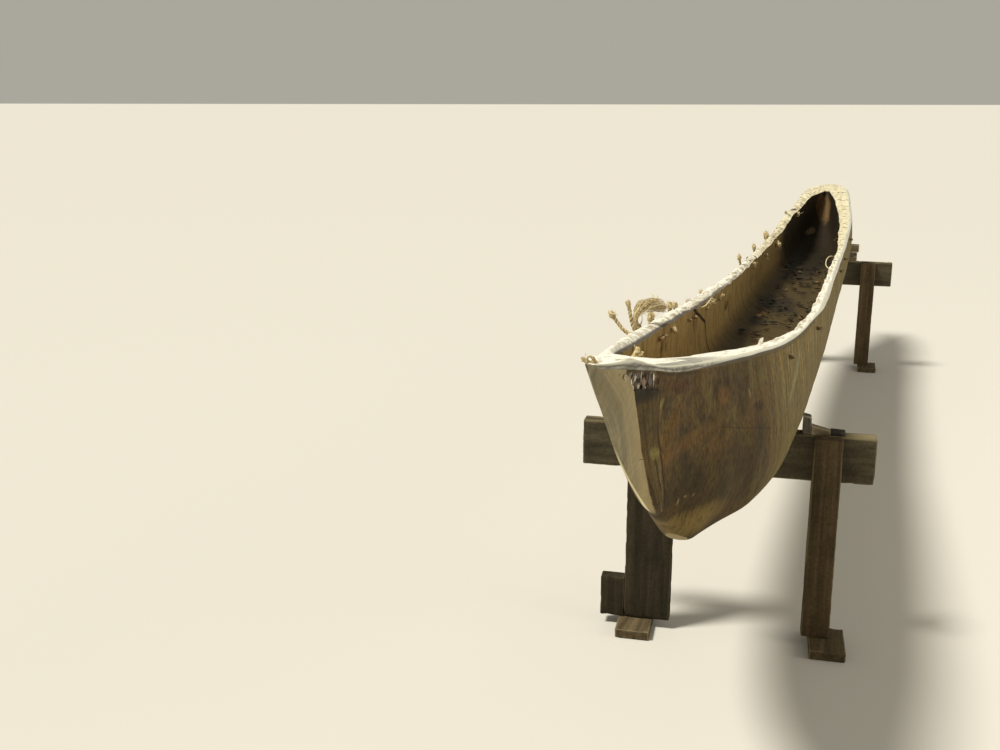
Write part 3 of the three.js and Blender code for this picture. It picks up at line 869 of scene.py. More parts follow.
    def top(self, g: Graph) -> Socket:
        """Colour of the rim's bare top, with splits across it towards the stern and painted shade on the
        starboard rim's inner edge.

        Args:
            g: the material's nodes.

        Returns:
            The colour.
        """
        x, y, share = g.place(Axis.X), g.place(Axis.Y), g.value("top")
        along_rim = g.pattern((9, 46, 46), 5, 0.6, 0.4)
        cloud = g.pattern((22, 26, 26), 3)
        speck = g.pattern((60, 60, 60), 2, 0.6)
        colour = g.mix(g.step(along_rim, 0.3, 0.5), self.rim_shade, self.rim)
        colour = g.mix(g.step(cloud, 0.58, 0.72, 0.45), colour, (0.56, 0.43, 0.24))
        colour = g.mix(g.step(x, 0.2, -1.4, 0.75), colour, (0.62, 0.56, 0.35))
        pits = g.pattern((28, 70, 70), 4, 0.7)
        colour = g.coat(colour, (0.3, 0.235, 0.14), g.step(pits, 0.55, 0.65), g.step(x, 2.8, 2.1), 0.65)
        inner = g.both(g.step(pits, 0.46, 0.6), g.step(share, 1.3, 1.75))
        colour = g.coat(colour, (0.36, 0.29, 0.18), inner, g.step(x, 2.4, 1.9), 0.6)
        worn = g.step(x, 1.8, 0.6)
        drift = g.pattern((2.5, 1.5, 1.5), 2, 0.6)
        turn = g.sum("FRACT", g.plus(g.times(x, 8.0), g.times(drift, 4.0)))
        outer = g.step(share, 1.9, 1.6)
        splits = g.both(g.band(turn, 0.5, 0.085), g.step(x, 0.3, -0.4), g.step(cloud, 0.34, 0.46), outer)
        colour = g.mix(splits, colour, (0.03, 0.021, 0.012))
        lumps = g.both(g.step(cloud, 0.5, 0.6), g.step(y, -0.03, -0.07), g.step(x, 2.55, 2.15), 0.5)
        colour = g.mix(lumps, colour, (0.26, 0.235, 0.165))
        # Painted shade: the starboard rim's inner edge, which slopes away from the light, darkened to a
        # mauve grey
        shade = g.both(g.step(share, 1.66, 1.84), g.step(y, 0.0, -0.03), 0.97)
        reach = g.both(g.step(x, -0.5, 0.9), g.step(x, HOLLOW[0][0] + 0.02, HOLLOW[0][0] - 0.01))
        colour = g.coat(colour, (0.085, 0.073, 0.064), shade, reach)
        return g.coat(colour, (0.2, 0.145, 0.085), g.step(speck, 0.62, 0.74), worn, 0.5)

    def hollow(self, g: Graph) -> Socket:
        """Colour of the hollow: golden brown with upright streaks, dark towards its floor, with painted
        shade towards the stern and, on the stern's end wall, a painted pool of light with painted shadow
        round it.

        Args:
            g: the material's nodes.

        Returns:
            The colour.
        """
        x, y, z = (g.place(axis) for axis in Axis)
        streak = g.pattern((26, 6, 2.6), 6, 0.62, 0.3)
        blotch = g.pattern((7, 7, 8), 5, 0.6)
        mottle = g.pattern((90, 60, 45), 3, 0.6)
        colour = g.ramp(streak, (0.28, (0.12, 0.078, 0.03)), (0.48, self.inside),
                        (0.76, (0.4, 0.285, 0.12)))
        # Painted shade: the hollow darkened aft of its middle
        colour = g.mix(g.step(x, 0.7, -0.9, 0.35), colour, self.inside_dark)
        colour = g.mix(g.step(blotch, 0.52, 0.7, 0.4), colour, (0.13, 0.066, 0.026))
        colour = g.shaded(0.7, colour, mottle, (0.34, (0.66, 0.64, 0.6)), (0.6, WHITE))
        colour = g.coat(colour, (0.04, 0.027, 0.009), g.step(z, 0.78, 0.69), g.step(x, 2.0, 1.0), 0.9)
        for middle, size in (((-1.42, -0.04), (0.34, 0.13)), ((-0.42, -0.05), (0.28, 0.1)),
                             ((0.0, -0.09), (0.16, 0.06))):
            dirt = g.both(g.spot(x, y, middle, size, 0.0, blotch), g.step(z, 0.8, 0.74), 0.85)
            colour = g.mix(dirt, colour, (0.017, 0.013, 0.008))
        # Painted shade: the hollow almost black towards the stern
        colour = g.mix(g.step(x, -1.35, -1.75, 0.92), colour, (0.014, 0.01, 0.005))
        # Painted light and shadow on the stern's end wall: a lit brown patch and a smaller paler one, with
        # painted shadow round them
        stern = g.step(x, -2.15, -2.45)
        end = g.mix(g.spot(y, z, (-0.004, 0.93), (0.052, 0.11), 0.0, blotch), self.crack,
                    (0.14, 0.086, 0.034))
        pale = g.spot(y, z, (-0.075, 0.8), (0.03, 0.022), 0.0, blotch)
        end = g.coat(end, (0.15, 0.11, 0.05), pale, 0.8)
        colour = g.mix(stern, colour, end)
        for middle, size, tint, top in (
            ((1.69, 0.925), (0.02, 0.03), self.inside_dark, 0.9),
            ((1.6, 0.905), (0.03, 0.02), (0.09, 0.045, 0.018), 0.6),
            ((1.1, 0.9), (0.03, 0.05), (0.1, 0.048, 0.016), 0.6),
            ((0.36, 0.815), (0.05, 0.025), self.inside_dark, 0.7),
        ):
            shade = g.both(g.spot(x, z, middle, size, 0.0, mottle), g.step(y, 0.0, -0.05), top)
            colour = g.mix(shade, colour, tint)
        split = g.plus(g.value("crack"), g.times(g.minus(blotch, 0.5), 0.012))
        crack = g.both(g.band(split, 0.0, 0.01), g.step(y, 0.0, -0.05), 1.0)
        return g.mix(g.times(crack, 1.3, True), colour, (0.022, 0.014, 0.008))

    def build(self) -> Material:
        """Makes the material: side, facet, bevel, rim and hollow, each with its own grain.

        Returns:
            The hull's material.
        """
        g = Graph("hull_wood", 0.72, 0.13)
        x, below, top = g.place(Axis.X), g.value("below_rim"), g.value("top")
        # The facet's pale colour is bleached wood and partly painted light, as where the sun falls on it
        bare = g.both(g.step(g.value("ridge"), 0.0012, -0.0012), g.step(x, 2.45, 2.5))
        skin = g.mix(bare, self.side(g), self.stem_facet(g))
        grain = g.pattern((40, 12, 5), 6, 0.62, 0.3)
        lower = g.both(g.step(x, 2.8, 2.45), g.step(x, 0.8, 1.4))
        edge = g.plus(below, g.times(lower, 0.0068))
        skin = g.coat(skin, (0.07, 0.053, 0.028), g.step(below, 0.004, -0.001), lower, 0.75)
        # The port bevel's colour: weathered grey that is partly painted shade, with painted highlights
        worn = self.bevel(g)
        colour = g.mix(g.step(edge, 0.0005, -0.0008), skin, worn)
        # Painted shade: a dark blue-grey line along the lower edge of the bevel's colour, where the rounded
        # edge turns from the light
        colour = g.coat(colour, (0.08, 0.08, 0.086), g.band(edge, 0.0008, 0.0022), lower, 0.75)
        # The bevel's grey, partly painted shade, also covers the outer part of the port rim's top by the
        # bow
        wide = g.both(g.step(x, 2.86, 2.8), g.step(x, 2.4, 2.6), 0.2)
        share = g.minus(top, wide)
        outer = g.both(g.step(share, 1.5, 1.38), g.step(x, 2.38, 2.52), g.step(x, 2.9, 2.82))
        outer = g.both(outer, g.step(g.place(Axis.Y), -0.01, 0.02), 0.85)
        colour = g.mix(g.step(top, 0.35, 0.8), colour, g.mix(outer, self.top(g), worn))
        colour = g.mix(g.step(g.value("inside"), 0.002, 0.008), colour, self.hollow(g))
        torn = g.pattern((150, 150, 30), 3)
        wound = g.ramp(torn, (0.3, (0.035, 0.027, 0.02)), (0.46, (0.15, 0.118, 0.082)),
                       (0.62, (0.33, 0.285, 0.215)))
        colour = g.mix(g.value("notch"), colour, wound)
        smooth = g.both(g.step(top, 0.35, 0.8), g.step(x, 0.9, 1.5), 0.9)
        ridges = g.times(g.minus(grain, 0.5), g.minus(1.0, smooth))
        normal = g.bump(ridges, 0.004, 0.5)
        fine = g.pattern((190, 60, 16), 3, 0.6)
        fine = g.times(g.minus(fine, 0.5), g.minus(1.0, smooth))
        normal = g.bump(fine, 0.0012, 0.6, normal)
        normal = g.bump(g.pattern((10, 8, 8), 2), 0.02, 0.3, normal)
        normal = g.bump(g.pattern((120, 70, 60), 3, 0.65), 0.0015, 0.6, normal)
        roughness = g.plus(0.5, g.times(grain, 0.4), True)
        return g.done(colour, normal, roughness)


@dataclass(frozen=True)
class StripWood:
    """The darker strip let into the bow, with a yellow-olive worn patch and painted shadow at its top under
    the notch.
    """

    dark: Colour = (0.048, 0.031, 0.011)
    light: Colour = (0.125, 0.084, 0.029)
    patch: Colour = (0.24, 0.205, 0.062)

    def build(self) -> Material:
        """Makes the material, with its grain down the strip.

        Returns:
            The strip's material.
        """
        g = Graph("strip_wood", 0.7, 0.12)
        z, across = g.place(Axis.Z), g.value("across")
        run = g.vector(g.times(across, 7.0), 0.0, g.times(z, 9.0))
        streak = g.noise(run, 5.0, 0.62, 0.2)
        blotch = g.pattern((26, 26, 18), 5, 0.62)
        mottle = g.pattern((150, 150, 80), 2, 0.6)
        colour = g.ramp(streak, (0.34, self.dark), (0.66, self.light))
        colour = g.mix(g.step(blotch, 0.52, 0.68, 0.5), colour, self.dark)
        cloud = g.pattern((60, 60, 60), 3, 0.6)
        rough = g.plus(z, g.times(g.minus(cloud, 0.5), 0.045))
        worn = g.both(g.band(rough, 0.972, 0.02), g.step(across, 0.22, 0.5), g.step(across, 0.99, 0.9))
        colour = g.coat(colour, self.patch, worn, 0.75)
        pale = g.both(g.step(z, 0.965, 0.93), g.step(streak, 0.46, 0.6), g.step(across, 0.25, 0.45), 0.55)
        colour = g.mix(pale, colour, (0.185, 0.145, 0.062))
        split = g.both(g.band(across, 0.62, 0.05), g.step(z, 1.0, 0.92), 0.6)
        colour = g.mix(split, colour, (0.016, 0.012, 0.006))
        # Painted shadow: the strip darkened at its top, under the notch
        colour = g.coat(colour, (0.016, 0.013, 0.009), g.step(z, 1.085, 1.112), 0.85)
        colour = g.mix(g.step(across, 0.86, 0.97, 0.75), colour, (0.055, 0.024, 0.01))
        colour = g.shaded(0.7, colour, mottle, (0.34, (0.62, 0.6, 0.56)), (0.62, WHITE))
        normal = g.bump(streak, 0.003, 0.6)
        return g.done(colour, normal)


@dataclass(frozen=True)
class TimberWood:
    """Sawn, dusty trestle timber.

    Attributes:
        name: the material's name.
        grain: the way that the fibres run.
        dark: colour of the late wood and dirt.
        light: colour of the early wood.
        edge: colour of the worn edges.
        top: height above which its face is bleached.
    """

    name: str
    grain: Axis
    dark: Colour
    light: Colour
    edge: Colour
    top: float = 9.0

    def build(self) -> Material:
        """Makes the material: long grain, faint saw lines, worn edges and a bleached top.

        Returns:
            The timber's material.
        """
        g = Graph(self.name, 0.88, 0.1)
        stretch = [42.0, 42.0, 42.0]
        stretch[self.grain.value] = 2.4
        saw = [9.0, 9.0, 9.0]
        saw[self.grain.value] = 150.0
        long_grain = g.pattern(tuple(stretch), 6.0, 0.62, 0.5)
        blotch = g.pattern((7, 7, 7), 5)
        saw_line = g.pattern(tuple(saw), 1.0)
        colour = g.ramp(long_grain, (0.3, self.dark), (0.66, self.light))
        colour = g.mix(g.step(blotch, 0.5, 0.7, 0.6), colour, self.dark)
        colour = g.coat(colour, self.edge, g.step(saw_line, 0.64, 0.8), g.step(blotch, 0.5, 0.6), 0.12)
        mottle = g.pattern((110, 110, 110), 3, 0.65)
        colour = g.shaded(0.7, colour, mottle, (0.34, (0.62, 0.6, 0.58)), (0.62, WHITE))
        worn = g.both(g.step(g.value("edge"), 0.006, 0.0005), g.step(blotch, 0.35, 0.55), 0.85)
        colour = g.mix(worn, colour, self.edge)
        bleached = g.both(g.step(g.place(Axis.Z), self.top - 0.004, self.top),
                          g.step(long_grain, 0.3, 0.56), 0.9)
        colour = g.mix(bleached, colour, self.edge)
        normal = g.bump(long_grain, 0.003, 0.6)
        normal = g.bump(saw_line, 0.0012, 0.4, normal)
        return g.done(colour, normal)


# The timbers' woods: grain, dark, light, edge, and the height above which the beams are bleached
WOODS = {
    "beam_wood": (Axis.Y, (0.044, 0.038, 0.024), (0.1, 0.082, 0.05), (0.2, 0.165, 0.09), 0.645),
    "post_wood": (Axis.Z, (0.04, 0.03, 0.016), (0.12, 0.082, 0.042), (0.15, 0.12, 0.068)),
    "dark_post_wood": (Axis.Z, (0.019, 0.016, 0.01), (0.05, 0.04, 0.024), (0.075, 0.062, 0.036)),
    "sole_wood": (Axis.X, (0.05, 0.038, 0.02), (0.15, 0.112, 0.06), (0.22, 0.17, 0.1)),
    "chock_wood": (Axis.Y, (0.11, 0.085, 0.05), (0.3, 0.24, 0.145), (0.66, 0.6, 0.46)),
    "slat_wood": (Axis.Z, (0.06, 0.052, 0.038), (0.15, 0.13, 0.095), (0.5, 0.46, 0.38)),
    "thin_wood": (Axis.Y, (0.022, 0.02, 0.018), (0.07, 0.062, 0.052), (0.12, 0.11, 0.09)),
}


@dataclass(frozen=True)
class Sennit:
    """Plaited coconut fibre, bleached at its ends, and paler on the hank as painted light."""

    name: str = "sennit"
    dark: Colour = (0.19, 0.125, 0.058)
    straw: Colour = (0.55, 0.44, 0.225)
    pale: Colour = (0.85, 0.745, 0.49)

    def build(self) -> Material:
        """Makes the material: straw with darker roots and pale tips.

        Returns:
            The cord's material.
        """
        g = Graph(self.name, 0.9, 0.1)
        fibre = g.pattern((160, 160, 160), 4, 0.7)
        colour = g.ramp(fibre, (0.3, self.dark), (0.52, self.straw), (0.74, self.pale))
        colour = g.mix(g.step(g.value("tip"), 0.45, 1.0, 0.5), colour, self.pale)
        colour = g.mix(g.step(g.value("tip"), 0.25, 0.0, 0.7), colour, self.dark)
        return g.done(colour, g.bump(fibre, 0.002, 0.6))


@dataclass(frozen=True)
class TonedFinish:
    """Torn fibres or dry leaves, each coloured by its own tone.

    Attributes:
        name: the material's name.
        roughness: how dull it is.
        specular: how much it shines.
        scale: waves a metre of its fine pattern, along each axis.
        dark: that pattern's darkest shade.
        tones: colours for tones from 0 to 1.
    """

    name: str
    roughness: float
    specular: float
    scale: Place
    dark: Colour
    tones: Sequence[tuple[float, Colour]]

    def build(self) -> Material:
        """Makes the material, its colour from each sliver's or leaf's tone.

        Returns:
            The material.
        """
        g = Graph(self.name, self.roughness, self.specular)
        fibre = g.pattern(self.scale, 3.0, 0.6)
        colour = g.ramp(g.value("tone"), *self.tones)
        colour = g.shaded(0.8, colour, fibre, (0.36, self.dark), (0.6, WHITE))
        return g.done(colour, g.bump(fibre, 0.001, 0.5))


TORN_WOOD = TonedFinish("torn_wood", 0.85, 0.1, (300.0, 300.0, 60.0), (0.55, 0.52, 0.48), (
    (0.0, (0.02, 0.014, 0.009)), (0.35, (0.13, 0.125, 0.105)), (0.62, (0.25, 0.15, 0.1)),
    (0.8, (0.48, 0.42, 0.33)), (1.0, (0.78, 0.74, 0.64)),
))
LEAF_LITTER = TonedFinish("leaf_litter", 0.8, 0.15, (120.0, 120.0, 120.0), (0.5, 0.5, 0.5), (
    (0.0, (0.014, 0.016, 0.01)), (0.5, (0.04, 0.03, 0.016)), (0.8, (0.12, 0.065, 0.028)),
    (1.0, (0.26, 0.18, 0.09)),
))


@dataclass(frozen=True)
class HullForm:
    """The hull's skin and hollow as smooth functions of the place along it.

    Attributes:
        lashing_drop: how far below the rim the lashings' holes lie.
    """

    lashing_drop: float = 0.03

    def rows(self, table: Sequence[Sequence[float]], x: Array) -> Array:
        """Each column of a table as a smooth curve through its rows that never overshoots them.

        The slope at a row is the harmonic mean of the slopes on its two sides, or level where the
        column turns, and a cubic joins each row to the next.

        Args:
            table: rows that start with x, from the bow aft.
            x: places along the hull.

        Returns:
            The other columns, on the last axis.
        """
        rows = np.asarray(table, float)
        knots, columns = rows[:, 0], rows[:, 1:]
        slopes = np.diff(columns, axis=0) / np.diff(knots)[:, None]
        left, right = slopes[:-1], slopes[1:]
        same = left * right > 0.0
        mean = np.where(same, 2.0 * left * right / np.where(same, left + right, 1.0), 0.0)
        at_rows = np.concatenate([slopes[:1], mean, slopes[-1:]])
        found = np.clip(np.searchsorted(-knots, -x, side="right") - 1, 0, len(knots) - 2)
        span = knots[found + 1] - knots[found]
        t = ((x - knots[found]) / span)[..., None]
        into = at_rows[found] * span[..., None]
        out = at_rows[found + 1] * span[..., None]
        ease = t * t * (3.0 - 2.0 * t)
        bend = t * (1.0 - t) * ((1.0 - t) * into - t * out)
        return blend(columns[found], columns[found + 1], ease) + bend

    def station(self, x: Array) -> dict[str, Array]:
        """The outer section's named numbers at places along the hull."""
        found = self.rows(STATIONS, np.asarray(x, float))
        return {name: found[..., k] for k, name in enumerate(STATION_COLUMNS[1:])}

    def hollow(self, x: Array) -> dict[str, Array]:
        """The hollow's named numbers at places along the hull."""
        found = self.rows(HOLLOW, np.asarray(x, float))
        return {name: found[..., k] for k, name in enumerate(HOLLOW_COLUMNS[1:])}

    @staticmethod
    def curve(points: Array, t: Array) -> Array:
        """Smooth curve through four points, each stretch leaving a point along its neighbours' chord.

        Args:
            points: an array that ends in four points by two.
            t: shares from 0 to 1, on the last axis.

        Returns:
            Points on the curve, an axis of two at the end.
        """
        p = t * 3.0
        i = np.clip(np.floor(p).astype(int), 0, 2)
        w = (p - i)[..., None]

        def pick(k: Array) -> Array:
            """The points of these numbers, kept within the four."""
            k = np.clip(k, 0, 3)[..., None]
            return np.take_along_axis(points, np.broadcast_to(k, (*k.shape[:-1], 2)), axis=-2)

        before, a, b, after = pick(i - 1), pick(i), pick(i + 1), pick(i + 2)
        v0, v1 = (b - before) * 0.5, (after - a) * 0.5
        return (2 * a - 2 * b + v0 + v1) * w**3 + (3 * b - 3 * a - 2 * v0 - v1) * w**2 + v0 * w + a

    def outer(self, x: Array, t: Array) -> Array:
        """Follows the curve through an outer section's four points.

        Args:
            x: places along the hull.
            t: shares from 0 at the keel to 1 at the rim, on the last axis.

        Returns:
            Half breadths and heights, on a new last axis.
        """
        s = self.station(x)
        pairs = [
            np.stack([s[f"{level}_half"], s[f"{level}_z"]], axis=-1)
            for level in ("keel", "bilge", "side", "rim")
        ]
        return self.curve(np.stack(pairs, axis=-2), t)

    def lean(self, x: Array, z: Array) -> Array:
        """How far the section's middle lies to port at a height."""
        s = self.station(x)
        return blend(s["rim_y"], s["keel_y"], (s["rim_z"] - z) / (s["rim_z"] - s["keel_z"]))

    def skin_half(self, x: Array, z: Array, steps: int = 96) -> Array:
        """Walks up the outer section to a height.

        Args:
            x: places along the hull.
            z: heights there.
            steps: points of the walk.

        Returns:
            Half breadth of the outer face at each.
        """
        x, z = np.broadcast_arrays(np.asarray(x, float), np.asarray(z, float))
        t = np.linspace(0.0, 1.0, steps)
        flat = x.ravel()
        section = self.outer(flat, np.broadcast_to(t, (flat.size, steps)))
        above = section[..., 1] >= z.ravel()[:, None]
        i = np.clip(np.argmax(above, axis=1), 1, steps - 1)
        i = np.where(above.any(axis=1), i, steps - 1)
        row = np.arange(flat.size)
        low, high = section[row, i - 1], section[row, i]
        share = (z.ravel() - low[:, 1]) / (high[:, 1] - low[:, 1])
        return blend(low[:, 0], high[:, 0], np.clip(share, 0.0, 1.0)).reshape(x.shape)

    def skin_y(self, x: Array, z: Array, side: Side) -> Array:
        """Y of the outer face at a place and height."""
        return self.lean(x, z) + side.value * self.skin_half(x, z)


@dataclass
class Hull:
    """The dugout: one closed skin round the outside, over the rim and through the hollow.

    Attributes:
        form: the hull's smooth shape.
        chamfer: height of the worn bevel on the rim's outer edge.
        chamfer_in: its breadth.
        chamfer_up: how far the bare rim stands over the skin's edge.
        chamfer_bow: how much further down it reaches at the port bow.
        chamfer_half: half breadth of the hull from which the bevel is whole.
        bow_step, middle_step, stern_step: spacing of sections in the hull's three stretches.
        bow_end, middle_end: where the first two of them end.
        keel_steps, side_steps, chamfer_steps, top_steps, wall_steps, floor_steps: points of a half
            section on its parts, from the keel round to the hollow's floor.
        keel_passes: how often the points by the heel are averaged.
        deck_share: breadth of the line's inner part on the deck, as a share of the rim's.
        deck_run: how far past the hollow's end the deck has its full height.
        lip: how much lower the hollow's starboard edge lies.
        notch_depth: depth of the broken notch in the port bow.
        seat: depth of the strip's seat.
        chip: depth of the chips in the rim.
        crown: how much the rim's middle is rounded up.
        gap: depth of the gap broken from the port rim amidships.
        nick: depth of the nicks in the port rim forward of it.
        sway: how far the rim's inner edge wanders.
    """

    form: HullForm
    chamfer: float = 0.004
    chamfer_in: float = 0.013
    chamfer_up: float = 0.002
    chamfer_bow: float = 0.003
    chamfer_half: float = 0.05
    bow_step: float = 0.0042
    middle_step: float = 0.0085
    stern_step: float = 0.0145
    bow_end: float = 2.5
    middle_end: float = 1.55
    keel_steps: int = 3
    side_steps: int = 37
    chamfer_steps: int = 3
    top_steps: int = 9
    wall_steps: int = 22
    floor_steps: int = 6
    keel_passes: int = 24
    deck_share: float = 0.4
    deck_run: float = 0.03
    lip: float = 0.006
    notch_depth: float = 0.013
    seat: float = 0.006
    chip: float = 0.006
    crown: float = 0.0022
    gap: float = 0.011
    nick: float = 0.009
    sway: float = 0.0046

    def places(self) -> Array:
        """Sections from bow to stern, closer together towards the bow.

        Returns:
            Their places along the hull.
        """
        ends = (STATIONS[0][0], self.bow_end, self.middle_end, STATIONS[-1][0])
        steps = (self.bow_step, self.middle_step, self.stern_step)
        runs = [
            np.linspace(a, b, max(2, round((a - b) / step)), endpoint=False)
            for a, b, step in zip(ends, ends[1:], steps)
        ]
        return np.concatenate([*runs, [ends[-1]]])

    def half(self, x: Array, side: Side) -> tuple[Array, dict[str, Array]]:
        """One side's line from the middle of the keel up the skin, over the rim and down the hollow.

        The skin follows the section's curve to the bevel, and by the heel its points are averaged with
        their neighbours to round the keel. The port rim slopes straight from bevel to hollow, and the
        starboard rim is level over its outer third and then eases down to a lower edge. The hollow's
        wall is the curve of the trough's shares. Past the hollow's ends its depth eases to nothing, so
        that the same line lies flat on the deck, as high as the bevel's top.

        Args:
            x: places along the hull.
            side: which side.

        Returns:
            Points by place, and the named values at them.
        """
        s, h = self.form.station(x), self.form.hollow(x)
        sign = side.value
        column = x[:, None]
        port = 1.0 if side is Side.PORT else 0.0
        room = np.minimum(1.0, s["rim_half"] / self.chamfer_half)
        low = port * smoothstep(2.865, 2.955, x) * np.minimum(1.0, s["rim_half"] / 0.012)
        bow = smoothstep(1.6, 2.3, x)
        drop = self.chamfer * room + self.chamfer_bow * low
        inset = (blend(0.35, 1.0, port) * self.chamfer_in + port * 0.004 * bow) * room
        raised = (self.chamfer_up + 0.0045 * bow) * room

        keel = np.linspace(0.0, 1.0, self.keel_steps, endpoint=False)[None, :] * s["keel_half"][:, None]
        keel_z = np.broadcast_to(s["keel_z"][:, None], keel.shape)
        near_top = self.form.outer(x, np.broadcast_to([0.97, 1.0], (len(x), 2)))
        speed = np.linalg.norm(near_top[:, 1] - near_top[:, 0], axis=-1) / 0.03
        end = 1.0 - drop / speed
        t = np.linspace(0.0, 1.0, self.side_steps)[None, :] * end[:, None]
        skin = self.form.outer(x, t)

        foot = skin[:, -1]
        top = np.stack([s["rim_half"] - inset, s["rim_z"] + raised], axis=-1)
        share = np.linspace(0.0, 1.0, self.chamfer_steps + 1)[None, 1:, None]
        bevel = blend(foot[:, None, :], top[:, None, :], share)

        outer_half = np.concatenate([keel, skin[..., 0], bevel[..., 0]], axis=1)
        outer_z = np.concatenate([keel_z, skin[..., 1], bevel[..., 1]], axis=1)
        near = smoothstep(0.12, 0.03, outer_z - s["keel_z"][:, None])
        near *= (smoothstep(2.24, 2.36, x) * smoothstep(2.74, 2.66, x))[:, None]
        for _ in range(self.keel_passes):
            for line, mirror in ((outer_half, -1.0), (outer_z, 1.0)):
                wide = np.concatenate([mirror * line[:, 1:2], line, line[:, -1:]], axis=1)
                line += near * (0.25 * wide[:, :-2] + 0.25 * wide[:, 2:] - 0.5 * line)
        outer_y = self.form.lean(column, outer_z) + sign * outer_half

        first, last = HOLLOW[0][0], HOLLOW[-1][0]
        past = np.maximum(x - first, last - x)
        deck = smoothstep(0.0, self.deck_run, past)
        deck_half = s["rim_half"] * self.deck_share
        half = blend(h["half"], deck_half, deck)
        middle = blend(h["middle_y"], s["rim_y"], deck)
        depth = (s["rim_z"] - h["floor_z"]) * np.where(past > 0.0, 1.0 - smoothstep(0.0, 0.012, past), 1.0)

        shares = np.asarray(TROUGH, float)
        t = np.linspace(1.0, 0.0, self.wall_steps)
        line = self.form.curve(np.broadcast_to(shares, (1, 4, 2)), t[None, :])[0]
        wall_y = middle[:, None] + sign * line[:, 0] * half[:, None]
        wall_z = s["rim_z"][:, None] - (1.0 - line[:, 1]) * depth[:, None]
        flat = np.linspace(1.0, 0.0, self.floor_steps + 1)[1:]
        floor_y = middle[:, None] + sign * flat[None, :] * (shares[0, 0] * half)[:, None]
        floor_z = np.broadcast_to((s["rim_z"] - depth + raised * deck)[:, None], floor_y.shape)
        wall_z = wall_z + (raised * deck)[:, None]

        across = np.linspace(0.0, 1.0, self.top_steps + 1)[None, 1:-1]
        top_y = blend(outer_y[:, -1:], wall_y[:, :1], across)
        fall = across if side is Side.PORT else smoothstep(0.3, 1.0, across)
        wall_z[:, 0] -= self.lip * (1.0 - port) * (1.0 - deck)
        top_z = blend(outer_z[:, -1:], wall_z[:, :1], fall)
        y = np.concatenate([outer_y, top_y, wall_y, floor_y], axis=1)
        z = np.concatenate([outer_z, top_z, wall_z, floor_z], axis=1)
        points = np.stack([np.broadcast_to(column, y.shape), y, z], axis=-1)

        below = np.clip(foot[:, 1:2] - z, -0.05, 1.0)
        first_bevel = outer_y.shape[1] - self.chamfer_steps
        below[:, first_bevel:] = -self.chamfer_in
        below[:, first_bevel : outer_y.shape[1]] = -self.chamfer_in * share[..., 0]
        inside = np.full(y.shape, -0.05)
        wall_at = outer_y.shape[1] + across.shape[1]
        inside[:, wall_at:] = np.maximum(s["rim_z"][:, None] - z[:, wall_at:], 0.0)
        across_rim = np.full(y.shape, -1.0)
        across_rim[:, outer_y.shape[1]:wall_at] = across
        across_rim[:, outer_y.shape[1] - 1] = 0.0
        across_rim[:, wall_at] = 1.0
        from_keel = np.full(y.shape, 1.0)
        from_keel[:, : outer_y.shape[1]] = np.abs(sign * outer_half + s["keel_half"][:, None])
        bare = np.where(across_rim > 0.0, 1.0 + across_rim, 0.0)
        bare[:, wall_at:] = 2.0
        if side is Side.STARBOARD:
            bare[:, first_bevel : outer_y.shape[1]] = 1.0
        return points, {
            "below_rim": below, "inside": inside, "across": across_rim, "keel": from_keel, "top": bare,
        }

    def ring(self, x: Array) -> tuple[Array, dict[str, Array]]:
        """Both sides' lines joined into closed rings, port up and starboard back down.

        Args:
            x: places along the hull.

        Returns:
            Points by place, and the named values at them.
        """
        port, port_values = self.half(x, Side.PORT)
        other, other_values = self.half(x, Side.STARBOARD)
        back = slice(-2, 0, -1)
        points = np.concatenate([port, other[:, back]], axis=1)
        values = {k: np.concatenate([v, other_values[k][:, back]], axis=1) for k, v in port_values.items()}
        side = np.concatenate([np.ones(port.shape[:2]), -np.ones(other[:, back].shape[:2])], axis=1)
        return points, {**values, "side": side}

    def weathered(self, points: Array, v: dict[str, Array]) -> Array:
        """Adds wear: gentle waves and adze dents on the skin, chips and splits along the rim.

        The skin moves along its normal by soft noise. The rim moves by noise that grows towards the
        stern, and where a finer noise passes a threshold it drops by a chip.

        Args:
            points: the smooth rings.
            v: the named values at them.

        Returns:
            The worn rings.
        """
        x, z = points[..., 0], points[..., 2]
        normal = ring_normals(points)
        outer = (v["across"] < -0.5) & (v["inside"] < 0.0)
        clear = smoothstep(0.665, 0.74, z)
        push = 0.0022 * Noise(3).rough(points, 0.3, 3) * clear
        push += 0.0009 * Noise(5).at(points, (0.075, 0.075, 0.11)) * clear
        dents = np.abs(Noise(7).at(points, (0.09, 0.06, 0.06)))
        push = np.where(outer, push, 0.0) + np.where(v["inside"] > 0.004, 0.003 * (dents - 0.4), 0.0)

